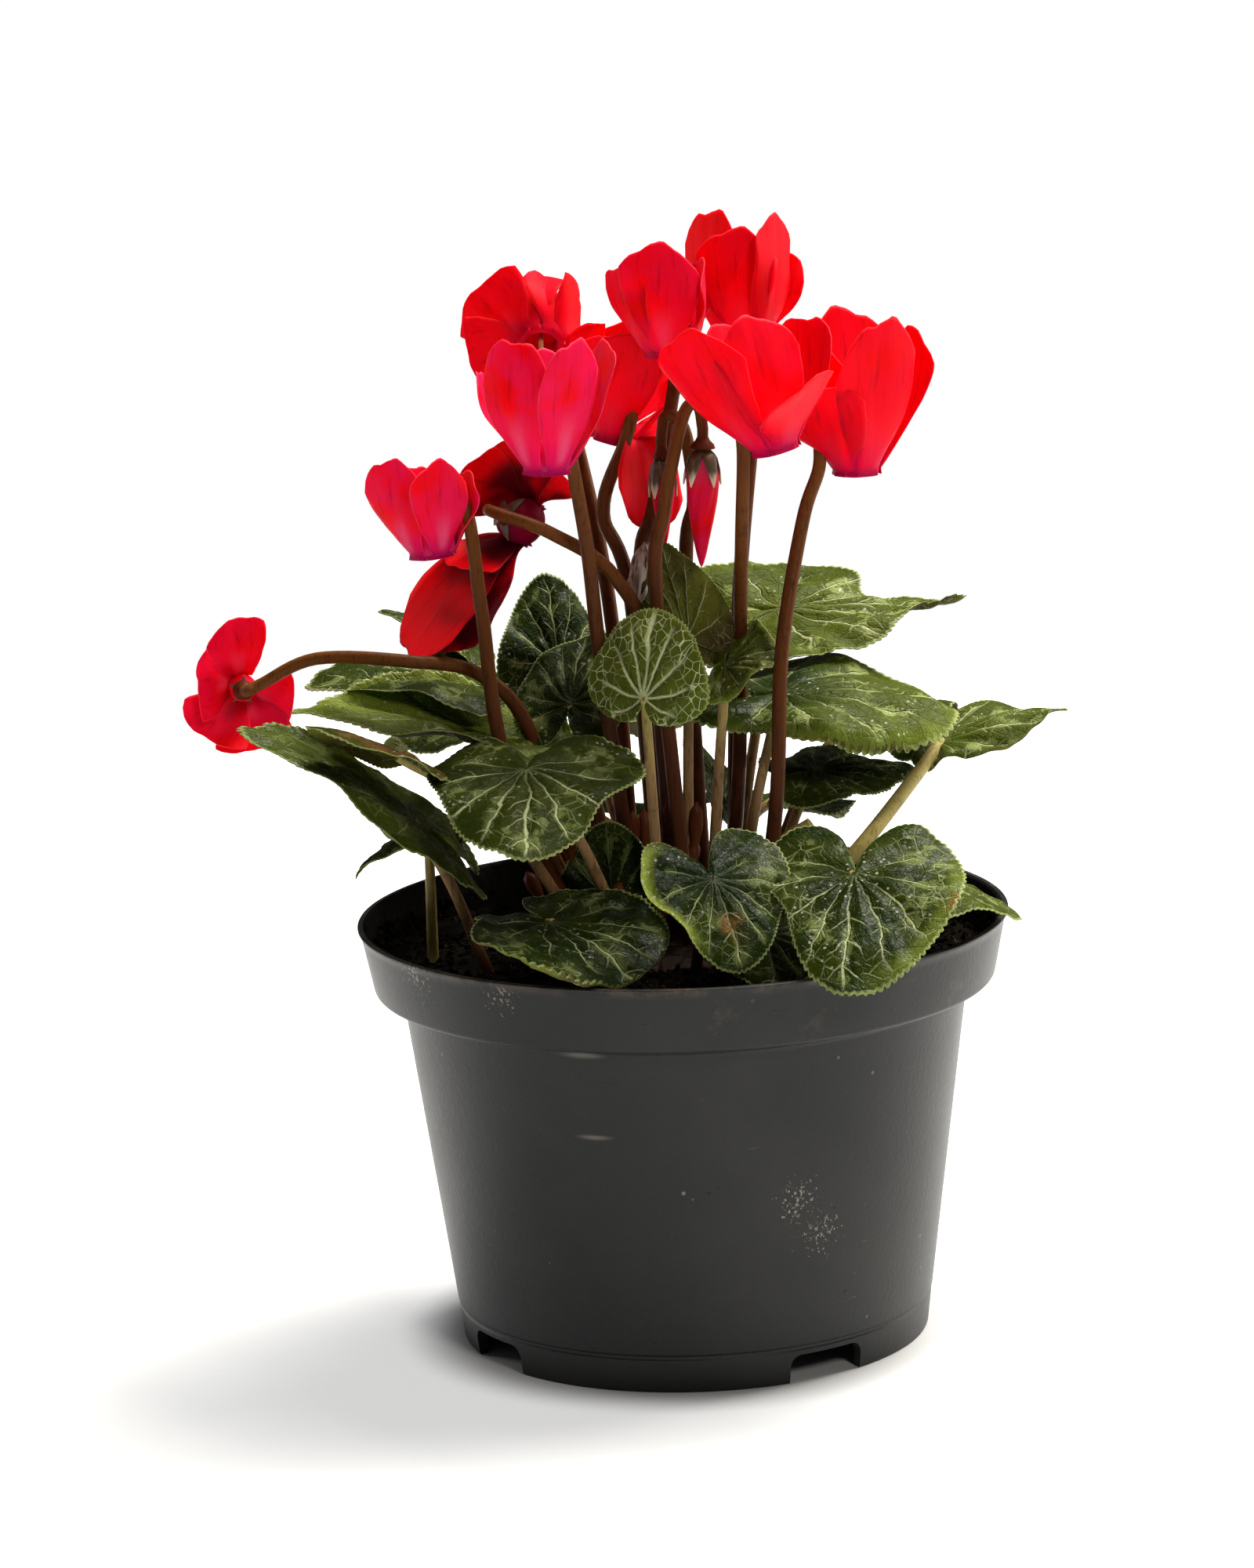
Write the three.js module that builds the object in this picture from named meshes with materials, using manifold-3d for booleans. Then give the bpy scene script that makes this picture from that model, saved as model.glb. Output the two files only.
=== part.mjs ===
// A potted cyclamen: a thin-walled growing pot, its soil, the tuber, and the leaves,
// flower stems, blooms and buds that grow from it.
// Millimetres, +Z up. The origin is the centre of the pot's underside and -Y is the front.
import * as THREE from "three";
import { mergeVertices } from "three/addons/utils/BufferGeometryUtils.js";
import Module from "manifold-3d";

const wasm = await Module();
wasm.setup();

// Pot
const rimRadius = 65;
const potHeight = 85;
const footRadius = 46.8;
const ledgeRadius = 56.3;
const ledgeHeight = 70.5;
const bandFootRadius = 61.8;
const wall = 1.3;
const channelHeight = 6.2;
const padRadius = 30;
const potSides = 28;
const notchCount = 4;
const notchWidth = 16.5;
const notchHeight = 5.8;
const notchCornerRadius = 2.4;
const firstNotchAngle = 32.5;
const drainCount = 6;
const drainRadius = 3;
const drainCircle = 38.5;

// Soil and tuber
const gap = 0.3;
const soilLevel = 76.5;
const soilCrown = 2.5;
const soilRoughness = 0.9;
const tuberRadius = 22;
const tuberTop = 82.5;
const tuberBottom = 68;
const tuberCentre = [1, -1];
const stalkFootHeight = 75;

// Growth
const clearance = 0.35;
const bladeThickness = 0.8;
const petalThickness = 0.7;
const petioleRadius = 1.25;
const stemRadius = 1.55;
const noseRadius = 4.9;
const noseHeight = 7;

const finishes = {
  plastic: { color: 0x343634, roughness: 0.5, metalness: 0 },
  soil: { color: 0x1d1611, roughness: 1, metalness: 0 },
  tuber: { color: 0x4a3426, roughness: 0.9, metalness: 0 },
  leaf: { color: 0x35501f, roughness: 0.6, metalness: 0 },
  stem: { color: 0x5c3a2c, roughness: 0.55, metalness: 0 },
  petal: { color: 0xe00a20, roughness: 0.5, metalness: 0 },
};

// Each leaf: the stalk's foot on the ground, where the stalk meets the blade, and the blade's tip.
// turn tilts the upper face about the midrib, wide stretches the blade across, arch bows the midrib,
// cup lifts the margin (or drops it below zero) and wave ripples it, in mm. lobe shortens the
// two lobes beside the stalk, and twist turns the blade about its midrib towards the tip, in degrees.
const leaves = [
  {
    foot: [-4, -12], base: [-6, -24, 133], tip: [-3, -20, 151],
    turn: 0, wide: 0.92, arch: 0.5, cup: -1, wave: 0.4, lobe: 0.4,
  },
  {
    foot: [9, -13], base: [21, 4, 128], tip: [58, 6, 120],
    turn: 8, wide: 0.92, arch: 3, cup: -3, wave: 1.5, lobe: 0.85,
  },
  {
    foot: [5, 1], base: [10, -9, 136], tip: [21, -16, 138],
    turn: 30, wide: 1, arch: 1, cup: -2, wave: 1.2, lobe: 0.5,
  },
  {
    foot: [9, 14], base: [22, 37, 139], tip: [63, 38, 137],
    turn: 24, wide: 0.62, arch: 1, cup: -2, wave: 1.2, twist: -24,
  },
  {
    foot: [16, 6], base: [53, 14, 115], tip: [79, 18, 119],
    turn: 8, wide: 0.9, arch: 2, cup: -4, wave: 1.5, lobe: 0.7,
  },
  {
    foot: [14, -3], base: [27, 4, 112], tip: [47, 8, 110],
    turn: 12, wide: 0.9, arch: 1, cup: -2, wave: 1,
  },
  {
    foot: [1, 6], base: [3, -3, 141], tip: [-2, -6, 161],
    turn: 50, wide: 0.62, arch: 1, cup: 1, wave: 1, lobe: 0.5,
  },
  {
    foot: [-6, 13], base: [-23, 22, 131], tip: [-26, 34, 148],
    turn: 0, wide: 0.8, arch: 1, cup: -2, wave: 1.5,
  },
  {
    foot: [-10, 1], base: [-21, 4, 127], tip: [-17, 18, 139],
    turn: 0, wide: 0.85, arch: 1, cup: -1, wave: 1,
  },
  {
    foot: [-15, 6], base: [-41, 14, 130], tip: [-74, 11, 131],
    turn: 0, wide: 0.75, arch: 2, cup: -2, wave: 1, lobe: 0.4,
  },
  {
    foot: [-18, -2], base: [-37, -2, 122.5], tip: [-76, -6, 128.5],
    turn: 0, wide: 0.52, arch: 2, cup: -1, wave: 1.5, lobe: 0.6,
  },
  {
    foot: [-15, -11], base: [-54, -26, 124], tip: [-64, -34, 130],
    turn: 0, wide: 1, arch: 0.5, cup: -1, wave: 0.6,
  },
  {
    foot: [-38, -13], base: [-52, -16, 109], tip: [-85, -22, 130],
    turn: -10, wide: 0.7, arch: 2, cup: -1, wave: 1,
  },
  {
    foot: [-9, -12], base: [-29, -30, 121], tip: [-29, -55, 107],
    turn: 0, wide: 1.02, arch: 2, cup: -2, wave: 1,
  },
  {
    foot: [-13, -15], base: [-26, -35, 92], tip: [-7, -54, 82],
    turn: 0, wide: 0.95, arch: 2, cup: 2, wave: 0.6,
  },
  {
    foot: [-10, -7], base: [-14, -10, 90], tip: [-14, -12, 107],
    turn: 0, wide: 0.5, arch: 1, cup: 1, wave: 0.6,
  },
  {
    foot: [2, -20], base: [6, -47, 102], tip: [11, -58, 86],
    turn: 0, wide: 1, arch: 1.5, cup: -1, wave: 0.8,
  },
  {
    foot: [11, -15], base: [33, -42, 101], tip: [30, -68, 82],
    turn: 0, wide: 0.88, arch: 2, cup: -1, wave: 0.8,
  },
  {
    foot: [7, -17], base: [16, -34, 88], tip: [17, -54, 81],
    turn: 0, wide: 0.9, arch: 0.5, cup: 0, wave: 0.6,
  },
  {
    foot: [17, -8], base: [48, -22, 95], tip: [66, -28, 88],
    turn: -10, wide: 0.7, arch: 1, cup: -3, wave: 0.8,
  },
  {
    foot: [-50, -1], base: [-50, 0, 102], tip: [-65, 0, 94],
    turn: 0, wide: 0.5, arch: 2, cup: -1, wave: 0.5,
  },
  {
    foot: [4, 17], base: [9, 23, 104], tip: [1, 25, 115],
    turn: 0, wide: 0.9, arch: 1, cup: 0, wave: 0.5,
  },
  {
    foot: [-12, 12], base: [-44, 36, 135], tip: [-60, 38, 141],
    turn: 0, wide: 0.8, arch: 1, cup: 0, wave: 0.5,
  },
  {
    foot: [13, 12], base: [39, 42, 118], tip: [57, 61, 110],
    turn: 0, wide: 0.9, arch: 3, cup: -2, wave: 1.5,
  },
  {
    foot: [0, 17], base: [-2, 50, 118], tip: [-4, 76, 106],
    turn: 0, wide: 0.92, arch: 3, cup: -2, wave: 1.5,
  },
  {
    foot: [-9, 15], base: [-40, 43, 116], tip: [-60, 57, 106],
    turn: 0, wide: 0.9, arch: 3, cup: -2, wave: 1.5,
  },
  {
    foot: [7, 17], base: [20, 50, 97], tip: [30, 68, 88],
    turn: 0, wide: 1, arch: 2, cup: -1, wave: 1,
  },
  {
    foot: [-5, 17], base: [-20, 50, 96], tip: [-30, 66, 88],
    turn: 0, wide: 1, arch: 2, cup: -1, wave: 1,
  },
];

// Each bloom: the centre of its mouth, the way its petals sweep, its five petal tips and petal width,
// and its stem from the foot up to the last point before it hooks over into the bloom.
const blooms = [
  {
    mouth: [16, 12, 197], up: [0, 0.1, 1], width: 12,
    tips: [[10, 12, 224], [15, 4, 221], [23, 8, 223], [24, 20, 214], [12, 24, 217]],
    stem: [[10, 9], [13, 15, 140], [18, 20, 185]],
  },
  {
    mouth: [1, -1, 197], up: [0, 0, 1], width: 12,
    tips: [[-8, -4, 215], [0, -9, 220], [8, -2, 216], [4, 12, 214], [-5, 10, 211]],
    stem: [[-2, 3], [-6, 3, 149], [-3, 4, 166], [2, 7, 190]],
  },
  {
    mouth: [21, -24, 181], up: [-0.25, 0, 1], width: 14,
    tips: [[4, -34, 206], [16, -30, 208], [28, -18, 206], [27, -42, 196], [10, -12, 204]],
    stem: [[8, 3], [12, 4, 110], [13, 2, 135], [14, -15, 163]],
  },
  {
    mouth: [37, -4, 173], up: [0, 0, 1], width: 14,
    tips: [[29, -8, 201], [28, -18, 192], [42, -18, 205], [35, 12, 204], [48, 0, 201]],
    stem: [[14, -8], [19, -18, 110], [21, -17, 140], [26, -8, 164]],
  },
  {
    mouth: [-24, 10, 198], up: [0, 0.85, 0.5], width: 14,
    tips: [[-37, 14, 209], [-27, 22, 210], [-16, 18, 206], [-38, 10, 194], [-14, 12, 193]],
    stem: [[-9, 9], [-12, 15, 140], [-18, 26, 176]],
  },
  {
    mouth: [-23, -22, 178], up: [0, 0, 1], width: 11,
    tips: [[-29, -29, 205], [-17, -34, 205], [-11, -20, 203], [-24, -8, 200], [-36, -14, 197]],
    stem: [[-8, -4], [-14, -8, 134], [-16, -12, 160]],
  },
  {
    mouth: [-11, 17, 178], up: [0.3, 0, 1], width: 13,
    tips: [[-14, 18, 200], [-4, 27, 200], [5, 15, 192], [-4, 7, 161], [5, 20, 179]],
    stem: [[-4, 8], [-8, 9, 146], [-13, 11, 164]],
  },
  {
    mouth: [-46, -12, 161], up: [-0.1, 0, 1], width: 10,
    tips: [[-54, -18, 181], [-44, -21, 181], [-39, -10, 177], [-50, -1, 177], [-57, -8, 174]],
    stem: [[-17, -6], [-33, -14, 117], [-37, -13, 149]],
  },
  {
    mouth: [-28, 8, 163], up: [-0.6, -0.7, 0.35], width: 12, shortHook: true,
    tips: [[-28, 6, 181], [-41, 3, 174], [-43, 0, 156], [-53, 0, 138], [-21, 12, 172]],
    stem: [[-1, -3], [-4, -4, 134], [-11, -6, 154], [-23, -6, 163]],
  },
  {
    mouth: [-86, 8, 132], up: [0.1, -1, 0.1], width: 12, shortHook: true,
    tips: [[-87, 2, 147], [-97, 1, 137], [-95, 1, 122], [-83, 3, 120], [-75, 4, 129]],
    stem: [[-14, 2], [-28, 2, 120], [-38, -4, 135], [-52, -8, 139], [-70, -7, 140]],
  },
];

// Each bud: where its calyx meets it, its lower tip, its thickness, and its stem.
const buds = [
  {
    top: [7, -10, 180], tip: [6, -10, 156], radius: 3.1,
    stem: [[2, -9], [-3, -10, 149], [-1, -10, 167], [2, -10, 181]],
  },
  {
    top: [-1, -2, 177], tip: [-1, -3, 159], radius: 2.3,
    stem: [[5, 5], [3, 8, 150], [5, 4, 167], [4, -2, 180]],
  },
];

const vec = (list) => new THREE.Vector3(...list);

// Solids

function solidOf(geometry) {
  geometry.deleteAttribute("normal");
  geometry.deleteAttribute("uv");
  const merged = mergeVertices(geometry, 1e-4);
  const mesh = new wasm.Mesh({
    numProp: 3,
    vertProperties: new Float32Array(merged.attributes.position.array),
    triVerts: new Uint32Array(merged.index.array),
  });
  return new wasm.Manifold(mesh);
}

function solidFrom(points, triangles) {
  const geometry = new THREE.BufferGeometry().setFromPoints(points);
  geometry.setIndex(triangles);
  return solidOf(geometry);
}

const joined = (solids) => solids.reduce((all, next) => all.add(next));

function largestBody(solid) {
  const bodies = solid.decompose();
  return bodies.reduce((best, body) => (body.volume() > best.volume() ? body : best));
}

function meshOf(name, solid, finish) {
  const { numProp, numVert, vertProperties, triVerts } = solid.getMesh();
  const positions = new Float32Array(numVert * 3);
  for (let i = 0; i < numVert; i += 1) {
    positions.set(vertProperties.subarray(i * numProp, i * numProp + 3), i * 3);
  }
  const geometry = new THREE.BufferGeometry();
  geometry.setAttribute("position", new THREE.BufferAttribute(positions, 3));
  geometry.setIndex(new THREE.BufferAttribute(triVerts, 1));
  geometry.computeVertexNormals();
  const mesh = new THREE.Mesh(geometry, new THREE.MeshStandardMaterial(finish));
  mesh.name = name;
  return mesh;
}

// A turned body about Z from [radius, height] points that start and end on the axis.
function turned(profile, sides) {
  const points = profile.map(([radius, height]) => new THREE.Vector2(radius, height));
  return solidOf(new THREE.LatheGeometry(points, sides).rotateX(Math.PI / 2));
}

// A round stalk through its stations, with a flat cap at each end.
function stalk(stations, radii, sides) {
  const points = [];
  const triangles = [];
  let across = new THREE.Vector3(0, 1, 0);
  stations.forEach((centre, i) => {
    const before = stations[Math.max(i - 1, 0)];
    const after = stations[Math.min(i + 1, stations.length - 1)];
    const along = after.clone().sub(before).normalize();
    across = across.clone().addScaledVector(along, -across.dot(along)).normalize();
    const other = along.clone().cross(across);
    for (let k = 0; k < sides; k += 1) {
      const angle = (2 * Math.PI * k) / sides;
      const point = centre.clone().addScaledVector(across, radii[i] * Math.cos(angle));
      points.push(point.addScaledVector(other, radii[i] * Math.sin(angle)));
    }
  });
  for (let i = 0; i + 1 < stations.length; i += 1) {
    for (let k = 0; k < sides; k += 1) {
      const a = i * sides + k;
      const b = i * sides + ((k + 1) % sides);
      triangles.push(a, b, b + sides, a, b + sides, a + sides);
    }
  }
  const last = (stations.length - 1) * sides;
  for (let k = 1; k + 1 < sides; k += 1) {
    triangles.push(0, k + 1, k, last, last + k, last + k + 1);
  }
  return solidFrom(points, triangles);
}

function smoothPath(waypoints, stepsPerSpan) {
  const curve = new THREE.CatmullRomCurve3(waypoints, false, "catmullrom", 0.5);
  return curve.getPoints((waypoints.length - 1) * stepsPerSpan);
}

// Pot

function potWall() {
  const floorTop = channelHeight + wall;
  return turned(
    [
      [0, 0],
      [padRadius, 0],
      [padRadius + 2.5, channelHeight],
      [footRadius - 2.2, channelHeight],
      [footRadius - 1.7, 0],
      [footRadius, 0],
      [ledgeRadius, ledgeHeight],
      [bandFootRadius, ledgeHeight + 1.4],
      [rimRadius - 0.9, potHeight - 1.6],
      [rimRadius, potHeight],
      [rimRadius - 2, potHeight],
      [bandFootRadius - wall, ledgeHeight + 2.2],
      [ledgeRadius - wall, ledgeHeight + wall],
      [footRadius - 0.5, floorTop],
      [padRadius + 1.6, floorTop],
      [padRadius - 0.9, wall],
      [0, wall],
    ],
    potSides,
  );
}

function notchCutter() {
  const half = notchWidth / 2;
  const shape = new THREE.Shape();
  shape.moveTo(-half, -1);
  shape.lineTo(half, -1);
  const inset = half - notchCornerRadius;
  const shoulder = notchHeight - notchCornerRadius;
  shape.absarc(inset, shoulder, notchCornerRadius, 0, Math.PI / 2);
  shape.absarc(-inset, shoulder, notchCornerRadius, Math.PI / 2, Math.PI);
  shape.closePath();
  const depth = 6;
  const geometry = new THREE.ExtrudeGeometry(shape, { depth, bevelEnabled: false, curveSegments: 2 });
  geometry.rotateX(Math.PI / 2).rotateZ(Math.PI / 2).translate(footRadius - depth / 2, 0, 0);
  return geometry;
}

function makePot() {
  let pot = potWall();
  for (let i = 0; i < notchCount; i += 1) {
    const angle = THREE.MathUtils.degToRad(firstNotchAngle + (360 / notchCount) * i);
    pot = pot.subtract(solidOf(notchCutter().rotateZ(angle)));
  }
  for (let i = 0; i < drainCount; i += 1) {
    const angle = ((i + 0.5) * 2 * Math.PI) / drainCount;
    const drain = new THREE.CylinderGeometry(drainRadius, drainRadius, 4, 6).rotateX(Math.PI / 2);
    drain.translate(drainCircle * Math.cos(angle), drainCircle * Math.sin(angle), channelHeight + 0.8);
    pot = pot.subtract(solidOf(drain));
  }
  return pot;
}

// Ground

// A smooth bumpy value between -1 and 1 that depends only on the place.
function bump(x, y) {
  return (Math.sin(x * 0.31 + 1.3) * Math.cos(y * 0.27 - 0.4) + Math.sin(x * 0.13 - y * 0.19 + 2.1)) / 2;
}

function groundHeight(x, y) {
  const fromEdge = 1 - Math.hypot(x, y) / bandFootRadius;
  return soilLevel + soilCrown * fromEdge + soilRoughness * bump(x, y);
}

// Triangles between two closed rings of points, the second a whole number of times coarser.
function ringBand(outer, outerCount, inner, innerCount) {
  const ratio = outerCount / innerCount;
  const middle = Math.max(1, Math.floor(ratio / 2));
  const band = [];
  for (let k = 0; k < innerCount; k += 1) {
    const near = inner + k;
    const next = inner + ((k + 1) % innerCount);
    for (let j = 0; j < ratio; j += 1) {
      const rim = outer + k * ratio + j;
      const nextRim = outer + ((k * ratio + j + 1) % outerCount);
      band.push([j < middle ? near : next, rim, nextRim]);
      if (j === middle - 1) band.push([near, nextRim, next]);
    }
  }
  return band;
}

function makeSoil() {
  const floorTop = channelHeight + wall + gap;
  const topRadius = bandFootRadius - wall - gap + 0.6;
  const rings = [
    [padRadius - 1.2 - gap, wall + gap, potSides],
    [padRadius + 1.3 - gap, floorTop, potSides],
    [footRadius - 0.8 - gap, floorTop, potSides],
    [ledgeRadius - wall - gap, ledgeHeight + wall + gap, potSides],
    [bandFootRadius - wall - gap, ledgeHeight + 2.2 + gap, potSides],
    [topRadius, 0, potSides],
    [topRadius * 0.7, 0, potSides / 2],
    [topRadius * 0.4, 0, potSides / 4],
  ];
  const points = [];
  const starts = rings.map(([radius, height, count]) => {
    for (let k = 0; k < count; k += 1) {
      const angle = (2 * Math.PI * k) / count;
      const x = radius * Math.sin(angle);
      const y = -radius * Math.cos(angle);
      points.push(new THREE.Vector3(x, y, height || groundHeight(x, y)));
    }
    return points.length - count;
  });
  const triangles = [];
  for (let i = 0; i + 1 < rings.length; i += 1) {
    triangles.push(...ringBand(starts[i], rings[i][2], starts[i + 1], rings[i + 1][2]).flat());
  }
  const bottom = points.push(new THREE.Vector3(0, 0, wall + gap)) - 1;
  const top = points.push(new THREE.Vector3(0, 0, groundHeight(0, 0))) - 1;
  for (let k = 0; k < potSides; k += 1) triangles.push(bottom, (k + 1) % potSides, k);
  const lastCount = rings[rings.length - 1][2];
  const last = starts[starts.length - 1];
  for (let k = 0; k < lastCount; k += 1) triangles.push(top, last + k, last + ((k + 1) % lastCount));
  return solidFrom(points, triangles);
}

function makeTuber(extra) {
  const middle = (tuberTop + tuberBottom) / 2;
  const half = (tuberTop - tuberBottom) / 2 + extra;
  const dome = new THREE.SphereGeometry(1, 12, 6).rotateX(Math.PI / 2);
  const place = dome.attributes.position;
  for (let i = 0; i < place.count; i += 1) {
    const x = place.getX(i);
    const y = place.getY(i);
    const knob = tuberRadius + extra + 1.2 * bump(x * 9, y * 9);
    place.setXYZ(i, tuberCentre[0] + x * knob, tuberCentre[1] + y * knob, middle + place.getZ(i) * half);
  }
  return solidOf(dome);
}

// Leaves

// How far the blade's margin lies from its joint, as a share of the midrib, every 30 degrees from the tip.
const heart = [1, 0.9, 0.8, 0.75, 0.67, 0.54, 0.1];
const rimPoints = 28;
const innerPoints = 7;
const innerShare = 0.6;
const toothDepth = 0.035;
const waveCount = 5;

function marginShare(angle) {
  const steps = (Math.abs(angle) / Math.PI) * (heart.length - 1);
  const i = Math.min(Math.floor(steps), heart.length - 2);
  const t = steps - i;
  const a = heart[Math.max(i - 1, 0)];
  const b = heart[i];
  const c = heart[i + 1];
  const d = heart[Math.min(i + 2, heart.length - 1)];
  return b + 0.5 * t * (c - a + t * (2 * a - 5 * b + 4 * c - d + t * (3 * (b - c) + d - a)));
}

function bladeFrame(leaf) {
  const base = vec(leaf.base);
  const along = vec(leaf.tip).sub(base);
  const length = along.length();
  along.normalize();
  const face = new THREE.Vector3(0, 0, 1).addScaledVector(along, -along.z).normalize();
  face.applyAxisAngle(along, THREE.MathUtils.degToRad(leaf.turn));
  return { base, along, length, face, side: face.clone().cross(along) };
}

// A point of the blade at an angle from the midrib and a share of the way to the margin.
function bladePoint(leaf, frame, angle, share, lift) {
  const lobe = 1 - (1 - (leaf.lobe ?? 1)) * Math.max(0, -Math.cos(angle));
  const reach = frame.length * marginShare(angle) * share * lobe;
  const u = (reach * Math.cos(angle)) / frame.length;
  const v = (reach * Math.sin(angle) * leaf.wide) / frame.length;
  const bow = leaf.arch * 4 * u * (u > 0 ? 1 - u : 1);
  const dish = leaf.cup * v * v * 2;
  const ripple = leaf.wave * share * share * Math.sin(waveCount * angle + leaf.base[0]);
  const twist = THREE.MathUtils.degToRad((leaf.twist ?? 0) * u);
  const side = frame.side.clone().applyAxisAngle(frame.along, twist);
  const face = frame.face.clone().applyAxisAngle(frame.along, twist);
  const point = frame.base.clone().addScaledVector(frame.along, u * frame.length);
  point.addScaledVector(side, v * frame.length);
  return point.addScaledVector(face, bow + dish + ripple + lift);
}

function makeBlade(leaf, extra) {
  const frame = bladeFrame(leaf);
  const half = bladeThickness / 2 + extra;
  const grow = 1 + extra / frame.length;
  const points = [];
  [half, -half].forEach((lift) => {
    points.push(bladePoint(leaf, frame, 0, 0, lift));
    for (let k = 0; k < innerPoints; k += 1) {
      points.push(bladePoint(leaf, frame, (2 * Math.PI * k) / innerPoints - Math.PI, innerShare, lift));
    }
    for (let k = 0; k < rimPoints; k += 1) {
      const tooth = k % 2 ? 1 + toothDepth : 1 - toothDepth;
      points.push(bladePoint(leaf, frame, (2 * Math.PI * k) / rimPoints - Math.PI, tooth * grow, lift));
    }
  });
  const layer = 1 + innerPoints + rimPoints;
  const top = ringBand(1 + innerPoints, rimPoints, 1, innerPoints);
  for (let k = 0; k < innerPoints; k += 1) top.push([0, 1 + k, 1 + ((k + 1) % innerPoints)]);
  const triangles = [];
  top.forEach(([a, b, c]) => triangles.push(a, b, c, a + layer, c + layer, b + layer));
  for (let k = 0; k < rimPoints; k += 1) {
    const a = 1 + innerPoints + k;
    const b = 1 + innerPoints + ((k + 1) % rimPoints);
    triangles.push(a, a + layer, b + layer, a, b + layer, b);
  }
  return solidFrom(points, triangles);
}

function makePetiole(leaf, extra) {
  const foot = new THREE.Vector3(leaf.foot[0], leaf.foot[1], stalkFootHeight);
  const frame = bladeFrame(leaf);
  const base = frame.base.clone().addScaledVector(frame.face, -0.3);
  const run = Math.hypot(base.x - foot.x, base.y - foot.y);
  const knee = foot.clone().lerp(base, 0.5);
  knee.z += run * 0.22;
  const stations = smoothPath([foot, knee, base], 1.5);
  const radii = stations.map((_, i) => petioleRadius * (1 - (0.2 * i) / stations.length) + extra);
  return stalk(stations, radii, 5);
}

// Flowers

const petalStations = [0, 0.3, 0.7, 1];
const petalAcross = [-1, 0, 1];
const petalOutline = [0.34, 0.84, 1, 0.46];
const petalTwist = 28;
const petalCup = 0.16;

function petalCurve(bloom, tip) {
  const mouth = vec(bloom.mouth);
  const up = vec(bloom.up).normalize();
  const end = vec(tip);
  const reach = end.clone().sub(mouth);
  const outward = reach.addScaledVector(up, -reach.dot(up)).normalize();
  const root = mouth.clone().addScaledVector(outward, noseRadius - 0.4).addScaledVector(up, 0.3);
  const length = root.distanceTo(end);
  const rise = up.clone().multiplyScalar(0.8).addScaledVector(outward, 0.6);
  const first = root.clone().addScaledVector(rise, length * 0.36);
  const second = end.clone().lerp(root, 0.3).addScaledVector(outward, length * 0.06);
  return { curve: new THREE.CubicBezierCurve3(root, first, second, end), side: up.clone().cross(outward) };
}

function makePetal(bloom, tip, extra) {
  const { curve, side } = petalCurve(bloom, tip);
  const half = petalThickness / 2 + extra;
  const columns = petalAcross.length;
  const points = [];
  [half, -half].forEach((lift) => {
    petalStations.forEach((s, row) => {
      const centre = curve.getPoint(s);
      const along = curve.getTangent(s);
      const across = side.clone().addScaledVector(along, -side.dot(along)).normalize();
      across.applyAxisAngle(along, THREE.MathUtils.degToRad(petalTwist * s));
      const face = across.clone().cross(along);
      const halfWidth = (bloom.width / 2) * petalOutline[row] + extra;
      petalAcross.forEach((v) => {
        const point = centre.clone().addScaledVector(across, v * halfWidth);
        points.push(point.addScaledVector(face, lift - petalCup * v * v * halfWidth));
      });
    });
  });
  const layer = petalStations.length * columns;
  const triangles = [];
  for (let i = 0; i + 1 < petalStations.length; i += 1) {
    for (let j = 0; j + 1 < columns; j += 1) {
      const a = i * columns + j;
      const [b, c, d] = [a + 1, a + columns + 1, a + columns];
      triangles.push(a, b, c, a, c, d);
      triangles.push(a + layer, c + layer, b + layer, a + layer, d + layer, c + layer);
    }
  }
  const edge = [];
  for (let j = 0; j < columns; j += 1) edge.push(j);
  for (let i = 1; i < petalStations.length; i += 1) edge.push(i * columns + columns - 1);
  for (let j = columns - 2; j >= 0; j -= 1) edge.push((petalStations.length - 1) * columns + j);
  for (let i = petalStations.length - 2; i > 0; i -= 1) edge.push(i * columns);
  edge.forEach((a, k) => {
    const b = edge[(k + 1) % edge.length];
    triangles.push(a, a + layer, b + layer, a, b + layer, b);
  });
  return solidFrom(points, triangles);
}

// The way from the Z axis to a bloom's own axis, at its mouth.
function placedAt(geometry, origin, up) {
  const turn = new THREE.Quaternion().setFromUnitVectors(new THREE.Vector3(0, 0, 1), up);
  return geometry.applyQuaternion(turn).translate(origin.x, origin.y, origin.z);
}

function makeNose(bloom, extra) {
  const profile = [
    [0, noseHeight + extra],
    [2.2 + extra, noseHeight + extra],
    [noseRadius - 0.5 + extra, 2.4],
    [noseRadius + extra, -0.3 - extra],
    [noseRadius - 1.3, 0],
    [0, noseHeight - 2],
  ].map(([radius, height]) => new THREE.Vector2(radius, height));
  const lathe = new THREE.LatheGeometry(profile.reverse(), 6).rotateX(Math.PI / 2);
  return solidOf(placedAt(lathe, vec(bloom.mouth), vec(bloom.up).normalize()));
}

function makeBloom(bloom, extra) {
  return joined([makeNose(bloom, extra), ...bloom.tips.map((tip) => makePetal(bloom, tip, extra))]);
}

// Offsets out from and up the bloom's axis, ending in the flared calyx on the nose.
const stemHook = [
  [8, 1],
  [7.4, 8],
  [4, 13],
  [0.8, 13],
  [0, noseHeight + 3],
  [0, noseHeight + gap],
];

// The stem's way, from its foot in the ground to the hook that ends above the bloom.
function bloomStemPath(bloom) {
  const mouth = vec(bloom.mouth);
  const up = vec(bloom.up).normalize();
  const [foot, ...way] = bloom.stem;
  const last = vec(way[way.length - 1]).sub(mouth);
  const back = last.addScaledVector(up, -last.dot(up)).normalize();
  const hook = stemHook.slice(bloom.shortHook ? 2 : 0).map(([out, rise]) => {
    return mouth.clone().addScaledVector(back, out).addScaledVector(up, rise);
  });
  return [new THREE.Vector3(foot[0], foot[1], stalkFootHeight), ...way.map(vec), ...hook];
}

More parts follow.
